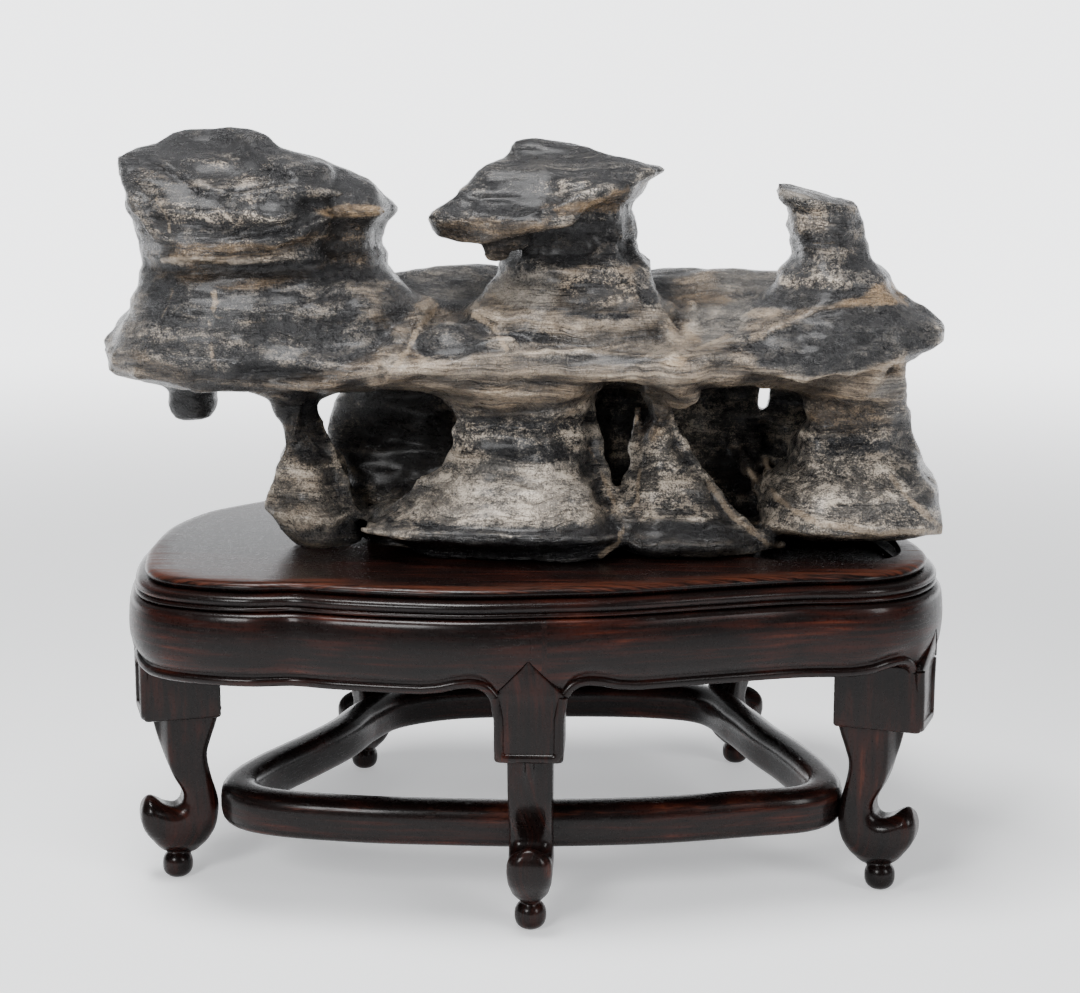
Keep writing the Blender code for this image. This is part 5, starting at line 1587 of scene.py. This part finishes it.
def make_board(outline, finish):
    """The top board with its rounded edge, and the socket and pocket sunk in it."""
    core = offset_loop(outline, -BOARD_CORE_INSET)
    loops = [at_height(core, BOARD_CORE_BOTTOM), at_height(core, BOARD_EDGE_BOTTOM)]
    for offset, height in reversed(BOARD_PROFILE):
        loops.append(at_height(offset_loop(outline, offset), height))
    board = new_object("board_finish", loft(loops), finish)
    left, right, front, back = PLUG
    room = SOCKET_CLEARANCE
    socket = rounded_oblong(left - room, right + room, front - room, back + room, SOCKET_ROUNDNESS)
    pocket = rounded_oblong(*POCKET, POCKET_ROUNDNESS)
    cutters = []
    for name, loop, floor in (("socket", socket, SOCKET_FLOOR), ("pocket", pocket, POCKET_FLOOR)):
        cutters.append(new_object(name, loft([at_height(loop, floor), at_height(loop, BOARD_TOP + 5)])))
    cut_away(board, cutters)
    mesh = board.data
    soft_shaded(mesh, 40)
    points = mesh_points(mesh)
    _, gap = place_by_loop(points, outline)
    in_front = rise(40.0, -60.0, points[:, 1])
    on_top = rise(BOARD_TOP - 2.6, BOARD_TOP - 1.2, points[:, 2])
    wear = in_front * rise(30.0, 3.0, gap) * (0.25 + 0.75 * on_top)
    set_grain(mesh, points[:, 0], points[:, 1] + 0.4 * points[:, 2], wear)
    return board


# --------------------------------------------------------------------- waist
WAIST_PROFILE = [               # (share of the proud width, height)
    (-0.1, WAIST_TOP), (0.50, WAIST_TOP - 0.5), (0.78, WAIST_TOP - 1.3), (0.90, WAIST_TOP - 2.4),
    (0.93, WAIST_TOP - 3.4), (0.86, WAIST_TOP - 4.3), (0.56, WAIST_TOP - 4.8),
    (0.56, WAIST_TOP - 5.1), (0.84, WAIST_TOP - 5.4), (0.97, WAIST_TOP - 6.1),
    (0.97, WAIST_TOP - 6.8), (0.84, WAIST_BOTTOM + 0.3), (0.6, WAIST_BOTTOM),
]


def make_waist(outline, finish):
    """The two-step moulding between the board and the aprons."""
    profile = [(share * WAIST_PROUD, height) for share, height in WAIST_PROFILE]
    profile += [(WAIST_INNER - FIT, WAIST_BOTTOM), (WAIST_INNER - FIT, WAIST_TOP)]
    mesh = moulding_round("waist_finish", outline, profile, finish)
    soft_shaded(mesh, 50)
    points = mesh_points(mesh)
    along, _ = place_by_loop(points, outline)
    set_grain(mesh, along, points[:, 2] * 1.5, np.zeros(len(points)))
    return new_object("waist_finish", mesh)


# -------------------------------------------------------------------- aprons
APRON_ROWS = [                  # (share of the proud width, height)
    (0.45, APRON_TOP), (0.62, APRON_TOP - 0.25), (0.76, APRON_TOP - 0.9), (0.85, APRON_TOP - 2.0),
    (0.91, APRON_TOP - 4.0), (0.96, APRON_TOP - 7.5), (1.0, 137.0), (1.0, 133.0), (0.97, 129.5),
    (0.90, 126.5), (0.80, 124.0), (0.69, 122.2), (0.60, 121.0), (0.56, 120.2), (0.57, 119.4),
    (0.60, 118.0), (0.60, 115.8),
]
BEAD_LEVEL = 117.5
BEAD_SINK = 1.1                 # the bead's middle lies this far inside the face
BEAD_HUMP = [                   # (beyond the leg's side, rise)
    (-1.0, -4.2), (0.0, -3.2), (1.2, -1.4), (2.6, 0.2), (4.5, 1.6), (7.0, 2.7), (11.0, 3.2),
    (17.0, 2.6), (24.0, 0.9), (32.0, 0.0),
]
APRON_COLUMN = 2.4
SEAM = 0.02                     # half the glued joint between two aprons
MITRE_GAP = 0.12
APRON_NAMES = ("front_right", "right", "back", "left", "front_left")   # from each leg to the next
BEAD_STEP = 1.6                 # between the points of a bead's path
PANEL_SHARE = 0.60              # share of the proud width behind the bead
BEAD_FACE = PANEL_SHARE * APRON_PROUD - BEAD_SINK   # how far the bead's middle stands out
HUMP_FADE = 9.0                 # the hump fades out over this height, below the mitre's point


def leg_frame(leg):
    _, x, y, degrees = leg
    angle = math.radians(degrees)
    facing = Vector((math.sin(angle), -math.cos(angle)))
    side = Vector((math.cos(angle), math.sin(angle)))
    return Vector((x, y)), facing, side


def edge_in_front(leg, loop):
    """Index of the outline point straight ahead of a leg, and how far ahead it is."""
    foot, facing, side = leg_frame(leg)
    offset = loop - np.array(foot)
    ahead = offset @ np.array(facing)
    aside = np.abs(offset @ np.array(side)) + np.where(ahead > 0, 0, 1000)
    nearest = int(np.argmin(aside))
    return nearest, float(ahead[nearest])


def leg_space(leg):
    """A function from a leg's own (outwards, aside, height) to the stand."""
    foot, facing, side = leg_frame(leg)

    def world(out, aside, height):
        spot = foot + facing * out + side * aside
        return (spot.x, spot.y, height)

    return world


def make_apron(name, start, end, outline, legs, to_edges, finish):
    """One apron between two legs, mitred to them, with its carved bead."""
    loop = np.vstack([outline, outline[:1]])
    facing = outward(outline)
    facing = np.vstack([facing, facing[:1]])
    travelled = distances_along(outline)

    def place(distance, offset, height):
        at = distance % travelled[-1]
        spot = [np.interp(at, travelled, loop[:, k]) + offset * np.interp(at, travelled, facing[:, k])
                for k in (0, 1)]
        return (*spot, height)

    def hump(distance):
        beyond = min(distance - start, end - distance) - LEG_BLOCK_HALF_WIDTH
        return float(np.interp(beyond, *zip(*BEAD_HUMP)))

    sections = []
    for distance in np.linspace(start + SEAM, end - SEAM, round((end - start) / APRON_COLUMN)):
        lift = hump(distance)
        section = []
        for share, height in APRON_ROWS:
            low = min(1.0, max(0.0, (LEG_APEX - height) / HUMP_FADE))
            section.append(place(distance, share * APRON_PROUD, height + low * lift))
        bottom = APRON_ROWS[-1][1] + lift
        for height in (bottom, LEG_APEX, APRON_TOP):
            section.append(place(distance, APRON_INNER, height))
        sections.append(section)
    apron = new_object(name + "_finish", loft(sections), finish)
    cut_away(apron, [new_object("mitre", block_mesh(leg, to_edge, MITRE_GAP))
                     for leg, to_edge in zip(legs, to_edges)])
    reach = LEG_BLOCK_HALF_WIDTH + BEAD_HUMP[0][0] + 1.0
    line = []
    for distance in np.linspace(start + reach, end - reach, round((end - start) / BEAD_STEP)):
        line.append(place(distance, BEAD_FACE, BEAD_LEVEL + hump(distance)))
    bead = rod_along(name + "_bead", line, BEAD_HALF, finish)
    whole = joined([apron.data, bead], name)
    bpy.data.objects.remove(apron)
    soft_shaded(whole, 42)
    points = mesh_points(whole)
    along, _ = place_by_loop(points, outline)
    set_grain(whole, along, points[:, 2], 0.25 * rise(136, 146, points[:, 2]))
    return new_object(name + "_finish", whole, finish)


# ---------------------------------------------------------------------- legs
HALF_WIDTHS = [                 # (height, half width of the shaft and scroll)
    (11.0, 4.4), (14.0, 6.4), (18.0, 8.5), (24.0, 10.1), (30.0, 10.5), (36.0, 10.3), (44.0, 10.0),
    (60.0, 10.3), (90.0, 10.5),
]
BLOCK_BEAD = [                  # right half of the bead round the block's panel: (aside, height)
    (15.0, 113.4), (14.9, 112.2), (14.6, 110.0), (14.0, 107.0), (13.4, 103.5), (13.3, 100.0),
    (13.3, 88.4), (13.0, 86.9), (12.1, 85.8), (10.5, 85.4),
]
PANEL_HEIGHTS = [LEG_BLOCK_BOTTOM, LEG_BLOCK_BOTTOM + 0.5, LEG_BLOCK_BOTTOM + 1.6, 100.0]
BLOCK_ROUNDING = {PANEL_HEIGHTS[0]: 1.3, PANEL_HEIGHTS[1]: 0.5}   # how far the lower end draws in
PANEL_TOP = 108.0               # above this the leg's panel swells out to the aprons
MITRE_SWELL = 0.38              # by this share of their proud width
MITRE_LEVELS = 24
MITRE_TIP = 0.3                 # half width of the point
CUTTER_REACH = 60               # a cutter reaches out this many times what it is grown
PROFILE_POINTS = 160
SHAFT_REACH = ((-24, 22), (-14, 14), (-1.3, 90))   # room for a shaft: out, aside, height
BALL_FULLNESS = 2.5             # 2 is an ellipsoid, more is boxier
TOE_SHOULDER = 33.5             # above this the toe narrows to its tip
TOE_TIP = 43.2
TOE_ROOT = (3.0, 8.0)           # the toe begins between these, outwards from the ball's centre
EDGE_ROUNDING = [(34.0, 6.6), (52.0, 3.4)]   # (height, radius of the shaft's edges)
BALL_FILLET = 1.2
BALL_CENTRE = 6.6
BALL_HALF_HEIGHT = 6.9
BALL_HALF_WIDTH = 7.4


def mitre(height):
    """Half width of the leg where it runs up into the aprons."""
    if height >= LEG_APEX:
        return 0.0
    return min(1.0, (LEG_APEX - height) / (LEG_APEX - APRON_BOTTOM)) * LEG_BLOCK_HALF_WIDTH


def block_mesh(leg, to_edge, grow):
    """The square block with its pointed top; grown, it cuts the aprons."""
    world = leg_space(leg)
    levels = []
    heights = PANEL_HEIGHTS + list(np.linspace(PANEL_TOP, LEG_APEX - MITRE_TIP, MITRE_LEVELS))
    for height in heights:
        half = max(mitre(height), MITRE_TIP) + 1.5 * grow
        share = PANEL_SHARE + MITRE_SWELL * float(rise(PANEL_TOP, LEG_APEX, height))
        round_off = 0.0 if grow else BLOCK_ROUNDING.get(height, 0.0)
        half -= round_off
        if height == heights[-1]:
            height += 2 * grow
        outer = to_edge + share * APRON_PROUD + grow * CUTTER_REACH - round_off
        inner = BLOCK_INNER - grow + round_off
        soft = min(1.4, 0.4 * half)
        right = [(inner, half), (outer - soft, half), (outer - 0.3 * soft, half - 0.3 * soft),
                 (outer, half - soft)]
        loop = right[:1] + [(out, -aside) for out, aside in right] + right[:0:-1]
        levels.append([world(out, aside, height) for out, aside in loop])
    return loft(levels)


def ball_distance(out, aside, up):
    """Distance to the ball under a leg, a little fuller than a sphere."""
    girth = np.hypot(out, aside) / BALL_HALF_WIDTH
    reach = (girth ** BALL_FULLNESS + np.abs(up / BALL_HALF_HEIGHT) ** BALL_FULLNESS) ** (1 / BALL_FULLNESS)
    return (reach - 1.0) * BALL_HALF_HEIGHT


def shaft_form(out, aside, height):
    """A carved leg: rounded shaft, curled toe and the ball it stands on."""
    profile = smooth_closed(SHAFT_PROFILE, PROFILE_POINTS)
    side = outline_distance(out[:, 0, :], height[:, 0, :], profile)[:, None, :]
    half = np.interp(height, *zip(*HALF_WIDTHS))
    climb = np.clip((height - TOE_SHOULDER) / (TOE_TIP - TOE_SHOULDER), 0.0, 0.98)
    half = half * (1.0 + rise(*TOE_ROOT, out) * (np.sqrt(1.0 - climb * climb) - 1.0))
    edge = np.minimum(np.interp(height, *zip(*EDGE_ROUNDING)), 0.9 * half)
    flank = np.abs(aside) - half + edge
    side = side + edge
    body = (np.hypot(np.maximum(side, 0.0), np.maximum(flank, 0.0))
            + np.minimum(np.maximum(side, flank), 0.0) - edge)
    ball = ball_distance(out, aside, height - BALL_CENTRE)
    return np.maximum(smooth_min(body, ball, BALL_FILLET), -height)


def carved_shaft():
    """Points and faces of a shaft in its own (outwards, aside, height)."""
    return wrap_form(shaft_form, SHAFT_REACH, LEG_STEP)


def make_leg(leg, to_edge, shaft, finish):
    """A leg: carved shaft, square block with its bead, and the post behind the aprons."""
    name = "leg_" + leg[0]
    world = leg_space(leg)
    points, faces = shaft
    skin = mesh_of(to_frame([world(*point) for point in points]), faces, name)
    face_outwards(skin)
    half = POST_HALF_WIDTH
    post = [(-half, POST_BOTTOM), (half, POST_BOTTOM), (half, LEG_POST_TOP), (-half, LEG_POST_TOP)]
    back = loft([[world(POST_BACK, a, h) for a, h in post], [world(POST_FRONT, a, h) for a, h in post]])
    out = to_edge + BEAD_FACE
    line = BLOCK_BEAD + [(-aside, height) for aside, height in reversed(BLOCK_BEAD)]
    bead = rod_along(name + "_bead", [world(out, aside, height) for aside, height in line], BEAD_HALF,
                     finish)
    whole = joined([skin, back, block_mesh(leg, to_edge, 0.0), bead], name)
    soft_shaded(whole, 42)
    points = mesh_points(whole)
    foot, facing, aside = leg_frame(leg)
    local = points[:, :2] - to_frame([(foot.x, foot.y, 0.0)])[0, :2]
    across = local @ np.array(aside) + 0.6 * (local @ np.array(facing))
    wear = 0.5 * rise(1.5, 0.0, points[:, 2]) + 0.3 * np.exp(-((points[:, 2] - 40) / 5) ** 2)
    set_grain(whole, points[:, 2] + 37.0 * foot.x, across + foot.y, wear)
    return new_object(name + "_finish", whole, finish)


# ---------------------------------------------------------------------- ring
RING_POINTS = 240
RING_SIDES = 28
RING_ROUNDNESS = 0.62


def make_ring(finish):
    """The ring stretcher: a rounded section swept round its centre line."""
    line = smooth_closed(RING_LINE, RING_POINTS)
    line = np.roll(line, RING_POINTS // 2, axis=0)
    profile = []
    for i in range(RING_SIDES):
        across, up = on_oval(-math.tau * (i + 0.5) / RING_SIDES, RING_ROUNDNESS)
        profile.append((0.5 * RING_WIDTH * across, RING_LEVEL + 0.5 * RING_HEIGHT * up))
    mesh = moulding_round("ring_finish", line, profile, finish)
    points = mesh_points(mesh)
    along, gap = place_by_loop(points, line)
    top = rise(RING_LEVEL + 4.0, RING_LEVEL + 10.0, points[:, 2])
    front = rise(-30.0, -80.0, points[:, 1])
    wear = front * (0.40 * top + 0.45 * rise(5.5, 8.5, gap) * rise(34, 46, points[:, 2]))
    set_grain(mesh, along, points[:, 2] + 0.8 * gap, wear)
    return new_object("ring_finish", mesh)


# --------------------------------------------------------------------- scene
LENS = 70.0
SENSOR_WIDTH = 36.0
CAMERA_PLACE = (0.0527, -1.0558, 0.3627)   # metres, like all of the studio
CAMERA_FALL = 366.5 / 2100.0    # how steeply the view falls
CAMERA_TURN = 0.0435


def set_up_view(scene):
    lens = bpy.data.cameras.new("view")
    lens.lens = LENS
    lens.sensor_width = SENSOR_WIDTH
    camera = bpy.data.objects.new("view", lens)
    camera.location = CAMERA_PLACE
    camera.rotation_euler = (math.radians(90.0) - math.atan(CAMERA_FALL), 0.0, CAMERA_TURN)
    scene.collection.objects.link(camera)
    scene.camera = camera


def add_soft_box(name, place, size, power):
    """A rectangular light that faces the middle of the object."""
    lamp = bpy.data.lights.new(name, "AREA")
    lamp.shape = "RECTANGLE"
    lamp.size, lamp.size_y = size
    lamp.energy = power
    light = bpy.data.objects.new(name, lamp)
    light.location = place
    light.rotation_euler = (Vector(LIGHTS_AIM) - Vector(place)).to_track_quat("-Z", "Y").to_euler()
    bpy.context.collection.objects.link(light)


LIGHTS_AIM = (0.0, 0.0, 0.2)
SOFT_BOXES = [                  # (name, place, size, power)
    ("overhead", (-0.25, -0.25, 1.5), (0.7, 0.5), 34.0),
    ("front_box", (-0.7, -1.5, 0.95), (0.5, 0.5), 22.0),
    ("right_box", (1.1, -0.9, 0.7), (0.4, 0.6), 9.0),
]
FLOOR_COLOUR = (0.86, 0.87, 0.88)
FLOOR_SIDE = 30000              # mm from the middle to each edge
AIR_COLOUR = (0.97, 0.98, 1.0)
FRONT_GLOW = 0.12
BACK_GLOW = 3.6                 # a low bright wall stands behind the stand
OVER_GLOW = 0.10                # share of its light left higher up


def studio_glow(tree, way):
    """Brightness of the air in a direction, the same for the world and the floor's far edge."""
    depth = tree.add("ShaderNodeSeparateXYZ", {}, {0: way}, 1)
    height = tree.add("ShaderNodeSeparateXYZ", {}, {0: way}, 2)
    wall = OVER_GLOW + (1.0 - OVER_GLOW) * (1.0 - tree.step(height, 0.07, 0.26))
    return FRONT_GLOW + (BACK_GLOW - FRONT_GLOW) * tree.step(depth, 0.0, 0.8) * wall


def set_up_studio(scene):
    """A pale floor that fades into the air, the air's glow and the soft boxes."""
    world = bpy.data.worlds.new("studio")
    world.use_nodes = True
    backdrop = world.node_tree.nodes["Background"]
    backdrop.inputs["Color"].default_value = (*AIR_COLOUR, 1.0)
    air = Tree(world.node_tree)
    glow = studio_glow(air, air.add("ShaderNodeTexCoord", output="Generated"))
    world.node_tree.links.new(glow.socket, backdrop.inputs["Strength"])
    scene.world = world

    finish, tree, shader = new_finish("studio_floor", Roughness=0.8, Emission_Strength=0.45)
    place = tree.add("ShaderNodeTexCoord", output="Object")
    away = tree.add("ShaderNodeVectorMath", {"operation": "LENGTH"}, {0: place}, "Value")
    fade = tree.step(away, 0.45, 2.6)
    way = tree.add("ShaderNodeVectorMath", {"operation": "NORMALIZE"}, {0: place})
    haze = tree.add("ShaderNodeEmission", {},
                    {"Color": (*AIR_COLOUR, 1.0), "Strength": studio_glow(tree, way)})
    shader.inputs["Base Color"].default_value = (*FLOOR_COLOUR, 1.0)
    shader.inputs["Emission Color"].default_value = (*AIR_COLOUR, 1.0)
    blend = tree.add("ShaderNodeMixShader", {}, {0: fade, 2: haze})
    tree.tree.links.new(shader.outputs[0], blend.socket.node.inputs[1])
    tree.tree.links.new(blend.socket, tree.tree.nodes["Material Output"].inputs["Surface"])
    corners = [(x * FLOOR_SIDE, y * FLOOR_SIDE, 0) for x, y in ((-1, -1), (1, -1), (1, 1), (-1, 1))]
    floor = new_object("floor", mesh_of(corners, [(0, 1, 2, 3)], "floor"), finish)
    for soft_box in SOFT_BOXES:
        add_soft_box(*soft_box)


def make_aprons(path, found, finish):
    """The five aprons, each from one leg to the next along the path."""
    travelled = distances_along(path)
    aprons = []
    for i, name in enumerate(APRON_NAMES):
        j = (i + 1) % len(LEGS)
        start, end = travelled[found[i][0]], travelled[found[j][0]]
        if end <= start:
            end += travelled[-1]
        aprons.append(make_apron("apron_" + name, start, end, path, (LEGS[i], LEGS[j]),
                                 (found[i][1], found[j][1]), finish))
    return aprons


def make_pieces():
    """Every piece, with the node that it stands for and its material slot."""
    outline = smooth_closed(BOARD_OUTLINE, OUTLINE_POINTS)
    path = smooth_closed(BOARD_OUTLINE, PATH_POINTS)
    found = [edge_in_front(leg, path) for leg in LEGS]
    wood = {place: wood_finish(place + "_rosewood", *look) for place, look in WOODS.items()}
    from_behind = np.roll(outline, OUTLINE_POINTS // 2, axis=0)
    pieces = [(make_stone(limestone_finish()), "stone", "dark_limestone"),
              (make_board(outline, wood["board"]), "top_board", "carved_hardwood"),
              (make_waist(from_behind, wood["waist"]), "waist_moulding", "carved_hardwood"),
              (make_ring(wood["ring"]), "stretcher_ring", "carved_hardwood")]
    for apron, name in zip(make_aprons(path, found, wood["apron"]), APRON_NAMES):
        pieces.append((apron, "apron_" + name, "carved_hardwood"))
    shaft = carved_shaft()
    for leg, (_, ahead) in zip(LEGS, found):
        pieces.append((make_leg(leg, ahead, shaft, wood["leg"]), "leg_" + leg[0], "carved_hardwood"))
    return pieces


def main():
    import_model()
    for piece, node, slot in make_pieces():
        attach(piece, "root")
        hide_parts(node)
    scene = bpy.context.scene
    set_up_view(scene)
    set_up_studio(scene)


SWEEP_GROUP = sweep_group()
BEAD_GROUP = bead_group()
main()
